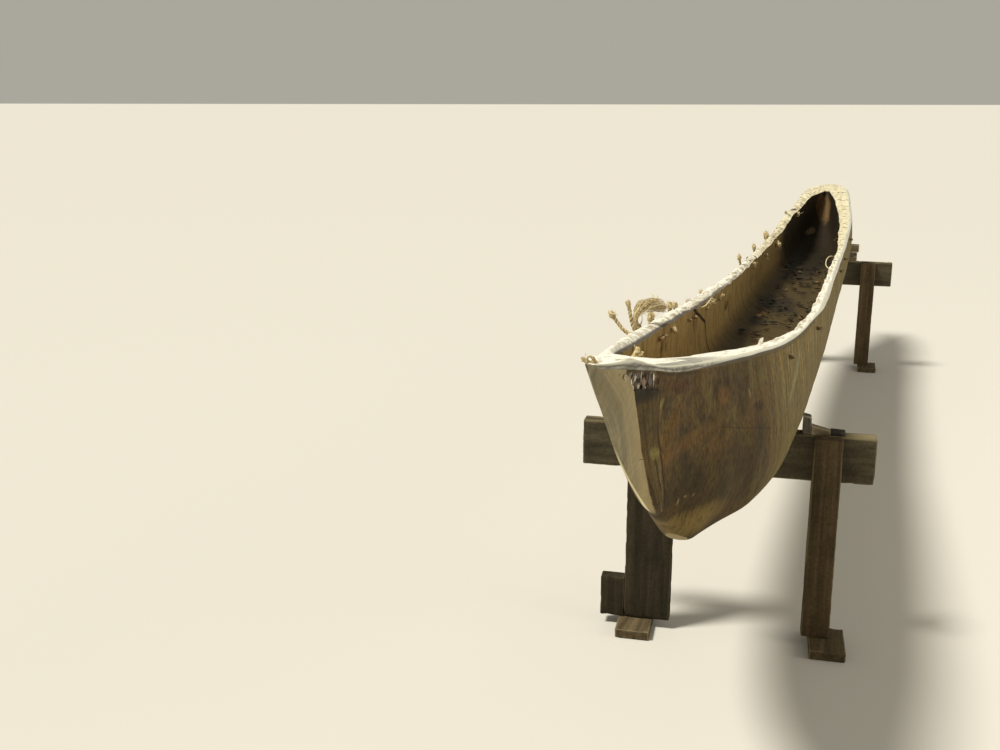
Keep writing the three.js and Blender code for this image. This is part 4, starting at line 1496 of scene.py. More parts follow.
        on_rim = (v["across"] >= 0.0).astype(float)
        side = v["side"]
        worn = np.where(side > 0.0, smoothstep(2.3, 1.5, x), smoothstep(1.9, 1.1, x)) * 0.85 + 0.15
        lift = worn * 0.004 * Noise(11).rough(along(x, 3.0 * side), 0.22, 3)
        lift += worn * 0.0026 * Noise(13).at(points * [1, 1, 0] + [0, 0, 0.3], (0.06, 0.024, 1.0))
        chip = smoothstep(0.22, 0.42, Noise(19).at(points * [1, 1, 0], (0.045, 0.022, 1.0)))
        lift -= worn * self.chip * chip
        crown = 1.0 - (2.0 * v["across"] - 1.0) ** 2
        lift += self.crown * crown * smoothstep(3.06, 2.94, x)
        port_rim = on_rim * (side > 0.0)
        gap = np.abs(x + 0.69 + 0.02 * Noise(27).at(points * [0, 1, 0], 0.02))
        lift -= port_rim * self.gap * smoothstep(0.035, 0.012, gap)
        nick = smoothstep(-0.08, -0.03, x) * smoothstep(0.21, 0.15, x) * smoothstep(0.75, 0.2, v["across"])
        lift -= port_rim * self.nick * nick * smoothstep(-0.3, 0.2, Noise(29).at(points, 0.03))
        points = points + normal * push[..., None]
        points[..., 2] += on_rim * lift
        near_rim = smoothstep(0.06, 0.0, np.maximum(v["inside"], 0.0)) * (v["inside"] >= 0.0)
        near_rim = np.maximum(near_rim, on_rim * np.maximum(v["across"], 0.0))
        sway = worn * self.sway * Noise(23).rough(along(x, 5.0 * side), 0.13, 2)
        points[..., 1] += near_rim * sway
        return points

    def notched(self, points: Array, v: dict[str, Array]) -> tuple[Array, Array]:
        """Sinks the strip's seat and breaks the notch above it, both on the port bow.

        Args:
            points: the worn rings.
            v: the named values at them.

        Returns:
            The rings, and how much each point belongs to the notch.
        """
        x, z = points[..., 0], points[..., 2]
        port = (v["side"] > 0.0) & (v["inside"] < 0.0) & (v["below_rim"] > -0.001)
        fore, aft = [row[:2] for row in STRIP], [row[2:] for row in STRIP]
        within = np.minimum(signed_distance(x, z, fore), -signed_distance(x, z, aft))
        under_top, under_sill = (signed_distance(x, z, [aft[k], fore[k]]) for k in (0, 1))
        low = z > STRIP[-1][1]
        seat = port * low * smoothstep(0.002, 0.007, within) * smoothstep(0.0, 0.003, under_sill)
        broken = port * smoothstep(-0.002, 0.003, np.minimum(within, under_top))
        broken = broken * smoothstep(0.002, -0.002, under_sill)
        torn = 0.75 + 0.9 * Noise(31).rough(points, (0.012, 0.012, 0.04), 2)
        depth = self.seat * seat + self.notch_depth * broken * np.clip(torn, 0.15, 1.4)
        points = points.copy()
        points[..., 1] -= depth
        return points, broken

    def build(self, finish: Material) -> Any:
        """Makes the hull and lets it stand for the CAD node.

        Args:
            finish: the hull's material.

        Returns:
            The object.
        """
        x = self.places()
        points, v = self.ring(x)
        on_skin = v["inside"] < 0.0
        ridge = signed_distance(points[..., 0], points[..., 2], RIDGE)
        crack = signed_distance(points[..., 0], points[..., 2], WALL_CRACK)
        seam = signed_distance(points[..., 0], points[..., 2], [row[2:] for row in STRIP[1:]])
        points = self.weathered(points, v)
        points, notch = self.notched(points, v)
        values = {
            "below_rim": np.where(v["side"] > 0.0, v["below_rim"], np.maximum(v["below_rim"], 0.002)),
            "inside": v["inside"],
            "keel": v["keel"],
            "ridge": np.where(on_skin, np.clip(ridge, -0.3, 0.3), 0.3),
            "seam": np.where(on_skin & (v["side"] > 0.0), np.clip(seam, -0.1, 0.1), 0.1),
            "crack": np.clip(crack, -0.1, 0.1),
            "notch": notch,
            "top": v["top"],
        }
        tip = blend(points[0].mean(axis=0), points[0], 0.92) + [0.0006, 0.0, 0.0]
        points = np.concatenate([tip[None], points])
        values = {k: np.concatenate([np.full_like(v[:1], v[0, 0]), v]) for k, v in values.items()}
        thing = put("hull_dugout", loft(points, values), finish)
        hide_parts("hull")
        return thing


@dataclass
class BowStrip:
    """The strip let into the port bow, a thin plank that follows the skin.

    Attributes:
        form: the hull's smooth shape.
        thickness: how deep it is let in.
        proud: how far its face stands off the skin.
        rows, columns: how many points it has down and across.
    """

    form: HullForm
    thickness: float = 0.01
    proud: float = 0.0008
    rows: int = 150
    columns: int = 30

    def build(self, finish: Material) -> Any:
        """Makes the strip: its face is the skin between its two edges, its back lies deeper.

        Its rings run across the face and back again, and narrow with the strip to its foot.

        Args:
            finish: the strip's material.

        Returns:
            The object.
        """
        rows = np.asarray(STRIP[1:], float)
        along_rows = np.linspace(0.0, len(rows) - 1.0, self.rows)
        edges = np.stack([np.interp(along_rows, np.arange(len(rows)), rows[:, k]) for k in range(4)],
                         axis=-1)
        u = np.linspace(0.0, 1.0, self.columns)[None, :]
        wander = 0.0012 * Noise(37).rough(along(edges[:, 0], 1.0), 0.03, 2)[:, None]
        x = blend(edges[:, 0:1], edges[:, 2:3], u) + wander
        z = blend(edges[:, 1:2], edges[:, 3:4], u)
        y = self.form.skin_y(x, z, Side.PORT)
        flat = np.stack([x, y, z], axis=-1)
        rough = 0.0009 * Noise(41).rough(flat, (0.02, 0.02, 0.06), 2)
        rounding = -0.0022 * (1.0 - smoothstep(0.0, 0.07, np.minimum(u, 1.0 - u)))
        face = flat.copy()
        face[..., 1] += self.proud + rough + rounding
        back = flat[:, ::-1].copy()
        back[..., 1] -= self.thickness
        both = np.concatenate([np.broadcast_to(u, x.shape), np.broadcast_to(u[:, ::-1], x.shape)], axis=1)
        piece = loft(np.concatenate([face, back], axis=1), {"across": both})
        thing = put("bow_strip_plank", piece, finish)
        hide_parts("bow_strip")
        return thing


@dataclass
class NotchSplinters:
    """Torn fibres standing in the broken notch above the strip, and a few chips on the port rim.

    Attributes:
        form: the hull's smooth shape.
        count: how many splinters.
    """

    form: HullForm
    count: int = 24

    def build(self, finish: Material) -> Any:
        """Makes the splinters, each a long four-sided sliver that tapers to both ends.

        Args:
            finish: their material.

        Returns:
            The object.
        """
        rng = np.random.default_rng(43)
        large = [dict(zip(SPLINTER_COLUMNS, row)) for row in SPLINTERS]
        small = [
            dict(across=rng.uniform(0.02, 0.98), down=rng.uniform(0.0, 1.0), lean=rng.normal(0.7, 0.25),
                 length=rng.uniform(0.01, 0.024), breadth=rng.uniform(0.0007, 0.0016),
                 tone=rng.uniform(0.1, 0.6))
            for _ in range(self.count)
        ]
        top, sill = np.array(STRIP[:2])
        slivers = []
        for row in large + small:
            edges = blend(top, sill, row["down"])
            x, z = blend(edges[:2], edges[2:], row["across"])
            sunk = rng.uniform(0.0015, 0.006) if 0.0 < row["across"] < 1.0 else 0.0
            y = float(self.form.skin_y(x, z, Side.PORT)) - sunk
            way = np.array([row["lean"], rng.uniform(-0.05, 0.25), 1.0])
            slivers.append(sliver(np.array([x, y, z]), way, row["length"], row["breadth"], row["tone"]))
        slivers += [sliver(np.array(place), np.array(way), *rest) for place, way, *rest in RIM_CHIPS]
        return put("notch_splinters", join(slivers), finish, 0.3)


def sliver(middle: Array, way: Array, length: float, breadth: float, tone: float) -> Piece:
    """A four-sided splinter: five rings along a line, widest in the middle.

    Args:
        middle: its middle point.
        way: the line's direction.
        length: its length.
        breadth: its greatest half breadth.
        tone: from dark to white, for its material.

    Returns:
        The closed piece.
    """
    way = way / np.linalg.norm(way)
    across = np.cross(way, [0.31, 0.87, 0.38])
    across /= np.linalg.norm(across)
    third = np.cross(way, across)
    t = np.array([-0.5, -0.25, 0.05, 0.3, 0.5])
    wide = np.array([0.3, 0.75, 1.0, 0.8, 0.12]) * breadth
    turn = np.arange(4) * math.pi / 2
    ring = np.cos(turn)[:, None] * across + 0.45 * np.sin(turn)[:, None] * third
    points = middle + (t * length)[:, None, None] * way + wide[:, None, None] * ring[None]
    return loft(points, {"tone": np.full(points.shape[:2], tone)})


def tube(path: Array, radius: Array, sides: int, values: dict[str, Array] | None = None) -> Piece:
    """A closed tube: rings square to the path, turned as little as they can be from one to the next.

    Args:
        path: points along it.
        radius: its radius at each point.
        sides: corners of each ring.
        values: named numbers at each point of the path.

    Returns:
        The closed piece.
    """
    ahead = np.gradient(path, axis=0)
    ahead /= np.maximum(np.linalg.norm(ahead, axis=1, keepdims=True), 1e-12)
    seed = np.array([0.0, 0.0, 1.0]) if abs(ahead[0, 2]) < 0.9 else np.array([1.0, 0.0, 0.0])
    across = np.empty_like(path)
    for i, way in enumerate(ahead):
        seed = seed - way * np.dot(seed, way)
        seed = seed / np.linalg.norm(seed)
        across[i] = seed
    third = np.cross(ahead, across)
    turn = np.arange(sides) * 2.0 * math.pi / sides
    ring = np.cos(turn)[None, :, None] * across[:, None] + np.sin(turn)[None, :, None] * third[:, None]
    rings = path[:, None] + np.asarray(radius)[:, None, None] * ring
    spread = {k: np.repeat(n[:, None], sides, axis=1) for k, n in (values or {}).items()}
    return loft(rings, spread)


def smooth_path(points: Sequence[Any], count: int) -> Array:
    """A smooth curve through points, each stretch's ends turned along the neighbours' chord.

    Args:
        points: at least three places.
        count: how many points to return, even in the curve's parameter.

    Returns:
        Points along the curve.
    """
    rows = np.asarray(points, float)
    gaps = np.maximum(np.linalg.norm(np.diff(rows, axis=0), axis=1), 1e-6)
    knots = np.concatenate([[0.0], np.cumsum(np.sqrt(gaps))])
    slopes = np.gradient(rows, knots, axis=0)
    t = np.linspace(0.0, knots[-1], count)
    i = np.clip(np.searchsorted(knots, t, side="right") - 1, 0, len(rows) - 2)
    span = (knots[i + 1] - knots[i])[:, None]
    w = ((t - knots[i])[:, None]) / span
    ease = w * w * (3.0 - 2.0 * w)
    bend = w * (1.0 - w) * ((1.0 - w) * slopes[i] - w * slopes[i + 1]) * span
    return blend(rows[i], rows[i + 1], ease) + bend


@dataclass
class Lashings:
    """The cut ends of the sennit lashings along the rim and in the bow's deck.

    Attributes:
        form: the hull's smooth shape.
        radius: radius of the three-strand cord.
        lead: straight run of a cord past each face of the wall.
        twist: length of one turn of the strands.
        hank_of: row of the lashing that ends in the loose hank.
    """

    form: HullForm
    radius: float = 0.0056
    lead: float = 0.01
    twist: float = 0.034
    hank_of: int = 2

    def route(self, row: dict[str, float], side: Side) -> Array:
        """A lashing's line through its hole, from inside to its frayed end outside.

        Args:
            row: the lashing's named numbers.
            side: which side it is on.

        Returns:
            Points along its line.
        """
        x, sign = row["x"], side.value
        z = float(self.form.station(x)["rim_z"]) - self.form.lashing_drop
        face = float(self.form.skin_half(x, z))
        hollow = self.form.hollow(x)
        inner = float(hollow["half"] + sign * hollow["middle_y"])

        def point(y: float, dx: float = 0.0, dz: float = 0.0) -> Array:
            """A place y out from the middle line, moved along the hull and up."""
            return np.array([x + dx, sign * y, z + dz])

        run_out = face + self.lead
        points = [
            point(inner - self.lead - row["run_in"], 0.0, -row["drop"]),
            point(inner - self.lead),
            point(inner),
            point(face),
            point(run_out),
            point(run_out + 0.5 * row["out"], 0.35 * row["sweep"], 0.3 * row["rise"]),
            point(run_out + row["out"], row["sweep"], row["rise"]),
        ]
        return smooth_path(points, 60)

    def cord(self, path: Array, slim: float = 1.0) -> Piece:
        """Three strands wound on a helix round the path.

        Args:
            path: the cord's line.
            slim: share of the full radius at its far end.

        Returns:
            The strands as one piece.
        """
        step = np.concatenate([[0.0], np.cumsum(np.linalg.norm(np.diff(path, axis=0), axis=1))])
        ahead = np.gradient(path, axis=0)
        ahead /= np.linalg.norm(ahead, axis=1, keepdims=True)
        across = np.cross(ahead, [0.27, 0.41, 0.87])
        across /= np.linalg.norm(across, axis=1, keepdims=True)
        third = np.cross(ahead, across)
        share = step / step[-1]
        strands = []
        for k in range(3):
            turn = 2.0 * math.pi * (step / self.twist + k / 3.0)
            off = np.cos(turn)[:, None] * across + np.sin(turn)[:, None] * third
            radius = self.radius * blend(1.0, slim, smoothstep(0.3, 0.6, share))
            line = path + off * radius[:, None] * 0.5
            thick = radius * 0.54 * (1.0 + 0.12 * np.sin(7.0 * turn + k))
            strands.append(tube(line, thick, 7, {"tip": share * 0.6}))
        return join(strands)

    def fray(self, path: Array, tuft: float, seed: int, count: int = 34) -> Piece:
        """Loose fibres fanning out of a cord's end.

        Args:
            path: the cord's line, its end last.
            tuft: radius of the tuft.
            seed: picks its fibres.
            count: how many.

        Returns:
            The fibres as one piece.
        """
        rng = np.random.default_rng(seed)
        ahead = path[-1] - path[-4]
        ahead /= np.linalg.norm(ahead)
        fibres = []
        for _ in range(count):
            way = ahead + rng.normal(0.0, 0.55, 3)
            way /= np.linalg.norm(way)
            length = tuft * rng.uniform(0.9, 1.6)
            start = path[-3] + rng.normal(0.0, 0.0018, 3)
            t = np.linspace(0.0, 1.0, 5)[:, None]
            droop = rng.normal(0.0, 0.35, 3) * length
            line = start + way * length * t + droop * t * t
            thick = rng.uniform(0.00045, 0.001) * np.array([1.2, 1.0, 0.9, 0.7, 0.35])
            fibres.append(tube(line, thick, 3, {"tip": 0.55 + 0.45 * t[:, 0]}))
        return join(fibres)

    def knob(self, path: Array, tuft: float, seed: int) -> Piece:
        """The knotted, matted lump at a cord's end: a ball pushed in and out by noise.

        Args:
            path: the cord's line, its end last.
            tuft: its radius.
            seed: picks its lumps.

        Returns:
            The lump.
        """
        ahead = path[-1] - path[-4]
        ahead /= np.linalg.norm(ahead)
        lat = np.linspace(0.12, math.pi - 0.12, 14)[:, None]
        lon = np.linspace(0.0, 2.0 * math.pi, 18, endpoint=False)[None, :]
        ball = np.stack([np.sin(lat) * np.cos(lon), np.sin(lat) * np.sin(lon),
                         np.cos(lat) * np.ones_like(lon)], axis=-1)
        ball *= (0.74 + 0.42 * Noise(seed).rough(ball, 0.55, 3))[..., None] * tuft
        ball += np.sum(ball * ahead, axis=-1, keepdims=True) * ahead * 0.45
        return loft(ball + path[-1], {"tip": np.full(ball.shape[:2], 0.6)})

    def hank(self) -> Piece:
        """A loose bundle of fibres that stands up outside the rim and droops inward over it.

        Its matted core is a tube with a lumpy radius. Fibres follow the same line, each with its own
        offset that turns slowly round it, and a few strays leave the line near its top. All are made pale
        as painted light.

        Returns:
            The core, fibres and strays.
        """
        rng = np.random.default_rng(71)
        path = smooth_path(HANK, 40)
        share = np.linspace(0.0, 1.0, len(path))
        girth = np.interp(share, (0.0, 0.25, 0.45, 0.85, 1.0), (0.004, 0.006, 0.012, 0.0115, 0.009))
        lumps = 1.0 + 0.25 * Noise(73).at(path, 0.012)
        # Painted light: the tip values of the core, fibres and strays are raised so the hank reads pale, as
        # where light falls on its top
        parts = [tube(path, 0.56 * girth * lumps, 12, {"tip": 0.7 + 0.2 * share})]
        for _ in range(260):
            start, end = sorted(rng.uniform(0.0, 1.0, 2) + np.array([-0.25, 0.25]))
            t = np.linspace(max(start, 0.0), min(end, 1.0), 12)
            line = np.stack([np.interp(t, share, path[:, k]) for k in range(3)], axis=-1)
            angle = rng.uniform(0.0, 2.0 * math.pi) + 1.8 * t
            off = np.interp(t, share, girth)[:, None] * rng.uniform(0.45, 1.75)
            round_it = np.stack([0.55 * np.cos(angle), 0.75 * np.cos(angle), np.sin(angle)], axis=-1)
            line = line + off * round_it
            line += rng.normal(0.0, 0.0014, line.shape)
            thick = rng.uniform(0.0005, 0.0011) * np.linspace(1.0, 0.6, 12)
            parts.append(tube(line, thick, 3, {"tip": rng.uniform(0.75, 1.0) * np.ones(12)}))
        for start, end in STRAYS:
            a, b = np.array(start), np.array(end)
            t = np.linspace(0.0, 1.0, 6)[:, None]
            line = a + (b - a) * t + np.array([0.0, 0.004, 0.003]) * (t * (1.0 - t)) * 4.0
            parts.append(tube(line, np.linspace(0.0016, 0.0007, 6), 5, {"tip": np.full(6, 0.9)}))
        return join(parts)

    def stub(self, points: Array, tuft: float, seed: int) -> Piece:
        """A short cut cord standing in the deck.

        Args:
            points: its lower end inside the wood, then the places that it passes, its end last.
            tuft: radius of its frayed end.
            seed: picks its fibres.

        Returns:
            The cord with its tuft.
        """
        path = smooth_path(points, 40)
        return join([self.cord(path, 0.6), self.knob(path, tuft, seed),
                     self.fray(path, tuft * 0.8, seed + 1, 10)])

    def ring(self, middle: Array, radius: float, thick: float) -> Piece:
        """A small open loop of cord that faces the bow: a tube round most of a circle.

        Args:
            middle: its middle.
            radius: the circle's radius.
            thick: the cord's radius.

        Returns:
            The loop.
        """
        turn = np.linspace(0.3, 5.6, 20)
        line = middle + radius * np.stack([0.3 * np.sin(turn), np.cos(turn), np.sin(turn)], axis=-1)
        return tube(line, np.full(20, thick), 6, {"tip": np.full(20, 0.55)})

    def stubs(self, finish: Material) -> None:
        """Makes the two bunches of stubs in the bow's solid deck, and the loop at its tip.

        Args:
            finish: the sennit's material.
        """
        for name, (x, cords) in STUBS.items():
            rim = np.array([0.0, 0.0, float(self.form.station(x)["rim_z"])])
            parts = [self.stub(np.array(points) + rim, tuft, seed) for points, tuft, seed in cords]
            if name == "lashing_bow_tip":
                parts.append(self.ring(np.array(TIP_LOOP) + rim, 0.0046, 0.0016))
            thing = put(f"{name}_sennit", join(parts), finish)
            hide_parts(name)

    def loop(self, finish: Material) -> None:
        """Makes the thin loop of cord inside the port rim, and a pale strand inside the starboard rim.

        Args:
            finish: the sennit's material.
        """
        lines = [smooth_path(points, 30) for points in LOOPS]
        parts = [tube(line, np.full(30, 0.0024), 6, {"tip": np.full(30, 0.8)}) for line in lines]
        put("thin_loops", join(parts), finish)

    def build(self, finish: Material, port_finish: Material) -> None:
        """Makes each lashing end and lets it stand for its CAD node.

        Args:
            finish: the sennit's material.
            port_finish: the darker sennit of the ends cut off flush on the port side.
        """
        self.stubs(finish)
        self.loop(finish)
        ends = [(label, k + 1, row) for label, rows in LASHINGS.items() for k, row in enumerate(rows)]
        for number, (label, count, numbers) in enumerate(ends):
            row = dict(zip(LASHING_COLUMNS, numbers))
            path = self.route(row, Side[label.upper()])
            parts = [self.cord(path)]
            if row["tuft"] > 0.0:
                parts.append(self.knob(path, row["tuft"] * 0.95, 50 + number))
                parts.append(self.fray(path, row["tuft"], 80 + number))
            parts.append(self.knob(path[::-1], row["inner_tuft"] * 0.9, 160 + number))
            parts.append(self.fray(path[::-1], row["inner_tuft"], 120 + number, 26))
            if number == self.hank_of:
                parts.append(self.hank())
            name = f"lashing_{label}_{count}"
            thing = put(f"{name}_sennit", join(parts), finish if label == "starboard" else port_finish)
            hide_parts(name)


@dataclass
class Litter:
    """Leaves and twigs that lie in the hollow.

    Attributes:
        form: the hull's smooth shape.
        leaves: how many leaves.
        twigs: how many twigs.
    """

    form: HullForm
    leaves: int = 170
    twigs: int = 36

    def floor_at(self, x: Array, y: Array) -> Array:
        """Height of the hollow's floor, by straight lines through the trough's half section.

        Args:
            x: places along the hull.
            y: places across it.

        Returns:
            The heights.
        """
        h = self.form.hollow(x)
        rim = self.form.station(x)["rim_z"]
        out = np.abs(y - h["middle_y"]) / h["half"]
        shares = np.asarray(TROUGH, float)
        rise = np.interp(out, shares[:3, 0], shares[:3, 1])
        return h["floor_z"] + rise * (rim - h["floor_z"])

    def leaf(self, place: Array, rng: np.random.Generator) -> Piece:
        """A curled leaf: flat rings that widen and narrow along a bent midrib.

        Args:
            place: its middle.
            rng: where its heading, size and curl are drawn from.

        Returns:
            The leaf.
        """
        heading, length = rng.uniform(0.0, 2.0 * math.pi), rng.uniform(0.018, 0.042)
        wide = length * rng.uniform(0.18, 0.3)
        t = np.linspace(0.0, 1.0, 9)
        ahead = np.array([math.cos(heading), math.sin(heading), 0.0])
        across = np.array([-math.sin(heading), math.cos(heading), rng.normal(0.0, 0.3)])
        curl = rng.uniform(0.1, 0.5) * length
        up = np.array([0.0, 0.0, 1.0])
        spine = place + ahead * (t[:, None] - 0.5) * length + up * (curl * (t - 0.5) ** 2)[:, None]
        half = wide * np.sin(math.pi * (0.04 + 0.92 * t)) ** 0.8
        turn = np.arange(8) * math.pi / 4
        flat = np.cos(turn)[None, :, None] * across * half[:, None, None]
        lift = (np.cos(turn) ** 2)[None, :] * half[:, None] * 0.35 + np.sin(turn)[None, :] * 0.0006
        rings = spine[:, None] + flat + lift[..., None] * up
        return loft(rings, {"tone": np.full(rings.shape[:2], rng.uniform(0.0, 1.0) ** 2.4)})

    def build(self, finish: Material) -> Any:
        """Scatters the leaves and twigs, thickest in two drifts.

        Args:
            finish: their material.

        Returns:
            The object.
        """
        rng = np.random.default_rng(61)
        drift = rng.random(self.leaves)
        x = np.where(drift < 0.45, rng.normal(-1.25, 0.28, self.leaves),
                     rng.normal(-0.15, 0.35, self.leaves))
        x = np.where(drift > 0.8, rng.uniform(-2.0, 1.9, self.leaves), x)
        x = np.clip(x, -2.1, 2.0)
        h = self.form.hollow(x)
        y = h["middle_y"] + rng.uniform(-0.75, 0.75, self.leaves) * h["half"]
        z = self.floor_at(x, y) + rng.uniform(0.003, 0.01, self.leaves)
        parts = [self.leaf(np.array(p), rng) for p in zip(x, y, z)]
        for _ in range(self.twigs):
            a = rng.uniform(-1.6, 1.2)
            b = float(self.form.hollow(a)["middle_y"]) + rng.uniform(-0.07, 0.07)
            turn, length = rng.uniform(0.0, math.pi), rng.uniform(0.04, 0.12)
            t = np.linspace(-0.5, 0.5, 8)
            px, py = a + t * length * math.cos(turn), b + 0.5 * t * length * math.sin(turn)
            pz = self.floor_at(px, py) + 0.006 + rng.normal(0.0, 0.0012, 8)
            thick = rng.uniform(0.001, 0.0022) * np.linspace(1.0, 0.6, 8)
            tone = {"tone": np.full(8, rng.uniform(0.2, 1.0))}
            parts.append(tube(np.stack([px, py, pz], axis=-1), thick, 5, tone))
        return put("leaf_litter", join(parts), finish, 0.8)


@dataclass
class Timber:
    """A sawn timber that stands for one box-shaped CAD node.

    Attributes:
        node: the CAD node's name.
        grain: the way that its length runs.
        name: the new piece's name.
        slot: its material slot in the record, not used.
        arris: radius of its worn edges.
        rough: how much its faces wander.
        chip: depth of the chips on its edges.
        step: spacing of its points.
        seed: picks its wear.
    """

    node: str
    grain: Axis
    name: str
    slot: str
    arris: float = 0.003
    rough: float = 0.0009
    chip: float = 0.003
    step: float = 0.01
    seed: int = 0

    def corners(self, frame: dict[str, Any]) -> Array:
        """The node's eight corners, in order of its own three axes.

        Args:
            frame: the loaded frame.

        Returns:
            An array of 2 by 2 by 2 points, low to high along each of the node's axes.
        """
        mesh = frame["nodes"][self.node].data
        flat = np.empty(len(mesh.vertices) * 3)
        mesh.vertices.foreach_get("co", flat)
        points = np.unique(np.round(flat.reshape(-1, 3), 6), axis=0)
        middle = points.mean(axis=0)
        order = np.argsort(points[:, 2])
        table = np.empty((2, 2, 2, 3))
        for k, layer in enumerate((points[order[:4]], points[order[4:]])):
            turn = np.arctan2(layer[:, 1] - middle[1], layer[:, 0] - middle[0])
            table[0, 0, k], table[1, 0, k], table[1, 1, k], table[0, 1, k] = layer[np.argsort(turn)]
        return table

    def build(self, frame: dict[str, Any], finish: Material) -> Any:
        """Makes the timber: rounded rings from end to end, with rough faces and chipped edges.

        A ring is the box's section with its corners cut to the arris. Three rings round each end's
        edge, and two smaller ones carry its face. Points go from shares of the section to the box by
        mixing its eight corners, then move along their normals by noise.

        Args:
            frame: the loaded frame.
            finish: its material.

        Returns:
            The object.
        """
        table = np.moveaxis(self.corners(frame), self.grain.value, 0)
        length, breadth, depth = (
            float(np.linalg.norm(table[i, j, k] - table[0, 0, 0]))
            for i, j, k in ((1, 0, 0), (0, 1, 0), (0, 0, 1))
        )
        steps = [max(4, int(side / self.step)) for side in (breadth, depth)]
        a = self.arris
        section, corner_gap = rounded_section(breadth, depth, a, steps)
        body = np.linspace(a, length - a, max(6, int(length / self.step)))
        u = np.concatenate([[0.0, 0.0, 0.0, 0.3 * a], body, [length - 0.3 * a, length, length, length]])
        inset = np.concatenate([[a, a, a, 0.3 * a], np.zeros(len(body)), [0.3 * a, a, a, a]])
        scale = np.concatenate([[0.35, 0.75], np.ones(len(body) + 4), [0.75, 0.35]])
        scale = scale * (1.0 - 2.0 * inset / min(breadth, depth))

        centre = np.array([breadth, depth]) / 2.0
        flat = (section[None] - centre) * scale[:, None, None] + centre
        b, c = flat[..., 0] / breadth, flat[..., 1] / depth
        shares = (np.broadcast_to((u / length)[:, None], b.shape), b, c)
        points = np.zeros((*b.shape, 3))
        for corner in np.ndindex(2, 2, 2):
            weight = np.prod([s if far else 1.0 - s for s, far in zip(shares, corner)], axis=0)
            points += weight[..., None] * table[corner]

        end_gap = np.minimum(u, length - u)[:, None]
        on_end = scale < 0.8
        gap = np.minimum(np.broadcast_to(corner_gap, b.shape), end_gap + 0.0005)
        gap = np.where(on_end[:, None], 0.02, gap)
        stretch = np.full(3, 0.05)
        stretch[self.grain.value] = 0.22
        push = self.rough * Noise(200 + self.seed).rough(points, stretch, 3)
        chip = smoothstep(0.2, 0.5, Noise(300 + self.seed).at(points, 0.032))
        push = push - self.chip * chip * smoothstep(0.01, 0.0, gap)
        points = points + ring_normals(points) * np.where(on_end[:, None], 0.0, push)[..., None]
        points[..., 2] = np.maximum(points[..., 2], 0.0)
        thing = put(self.name, loft(points, {"edge": gap}), finish, math.radians(35))
        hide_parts(self.node)
        return thing


def rounded_section(
    breadth: float, depth: float, arris: float, steps: Sequence[int]
) -> tuple[Array, Array]:
    """A rectangle with its corners cut by two short chords each.

    Args:
        breadth: its first side.
        depth: its second side.
        arris: how much is cut.
        steps: stretches along each side.

    Returns:
        The outline's points, and each one's distance from the nearest corner.
    """
    bend = arris * 0.3

    def run(start: float, end: float, count: int) -> Array:
        """Even steps from start to end."""
        return np.linspace(start, end, count + 1)

    low, right = arris, breadth - arris
    up, top = arris, depth - arris
    bottom = np.stack([run(low, right, steps[0]), np.zeros(steps[0] + 1)], axis=-1)
    side = np.stack([np.full(steps[1] + 1, breadth), run(up, top, steps[1])], axis=-1)
    corner_a = np.array([[breadth - bend, bend]])
    corner_b = np.array([[breadth - bend, depth - bend]])
    first = np.concatenate([bottom, corner_a, side, corner_b])
    other = np.array([breadth, depth]) - first
    outline = np.concatenate([first, other])
    far = np.minimum(outline, np.array([breadth, depth]) - outline)
    return outline, np.max(far, axis=1)


@dataclass
class Trestle:
    """One of the two trestles under the hull.

    Attributes:
        label: near or far, as in the nodes' names.
        cleat: whether it has the cleat beside its starboard foot.
        beam_finish: material of its cross beam.
        post_finish: material of its port post.
        dark_finish: material of its other upright pieces.
        sole_finish: material of its soles.
    """

    label: str
    cleat: bool
    beam_finish: Material
    post_finish: Material
    dark_finish: Material
    sole_finish: Material

    def build(self, frame: dict[str, Any]) -> None:
        """Makes its beam, posts, soles and cleat.

        Args:
            frame: the loaded frame.
        """
        pieces = [
            ("beam", Axis.Y, self.beam_finish),
            ("post_port", Axis.Z, self.post_finish),
            ("post_starboard", Axis.Z, self.dark_finish),
            ("sole_port", Axis.X, self.sole_finish),
            ("sole_starboard", Axis.X, self.sole_finish),
        ]
        if self.cleat:
            pieces.append(("cleat_starboard", Axis.Z, self.dark_finish))
        for number, (part, grain, finish) in enumerate(pieces):
            node = f"{part}_{self.label}"
            seed = number + (10 if self.label == "far" else 0)
            Timber(node, grain, f"{node}_timber", "trestle_wood", seed=seed).build(frame, finish)


@dataclass
class Chocks:
    """The small blocks and wedges between the hull and the beams.

    Attributes:
        names: their CAD nodes.
    """

    names: tuple[str, ...] = (
        "chock_near_port", "wedge_near_port", "offcut_near_port", "wedge_near_starboard",
        "wedge_far_port", "spacer_far_port", "block_far_port", "wedge_far_starboard",
    )

    def build(self, frame: dict[str, Any], finish: Material, slat: Material, thin: Material) -> None:
        """Makes each chock.

        Args:
            frame: the loaded frame.
            finish: most chocks' material.
            slat: the upright slat's.
            thin: the thin offcut's.
        """
        special = {"chock_near_port": slat, "offcut_near_port": thin, "spacer_far_port": slat}
        for number, node in enumerate(self.names):
            chock = Timber(node, Axis.Y, f"{node}_wood", "chock_wood", 0.0018, 0.0006, 0.0018, 0.005,
                           40 + number)
            chock.build(frame, special.get(node, finish))


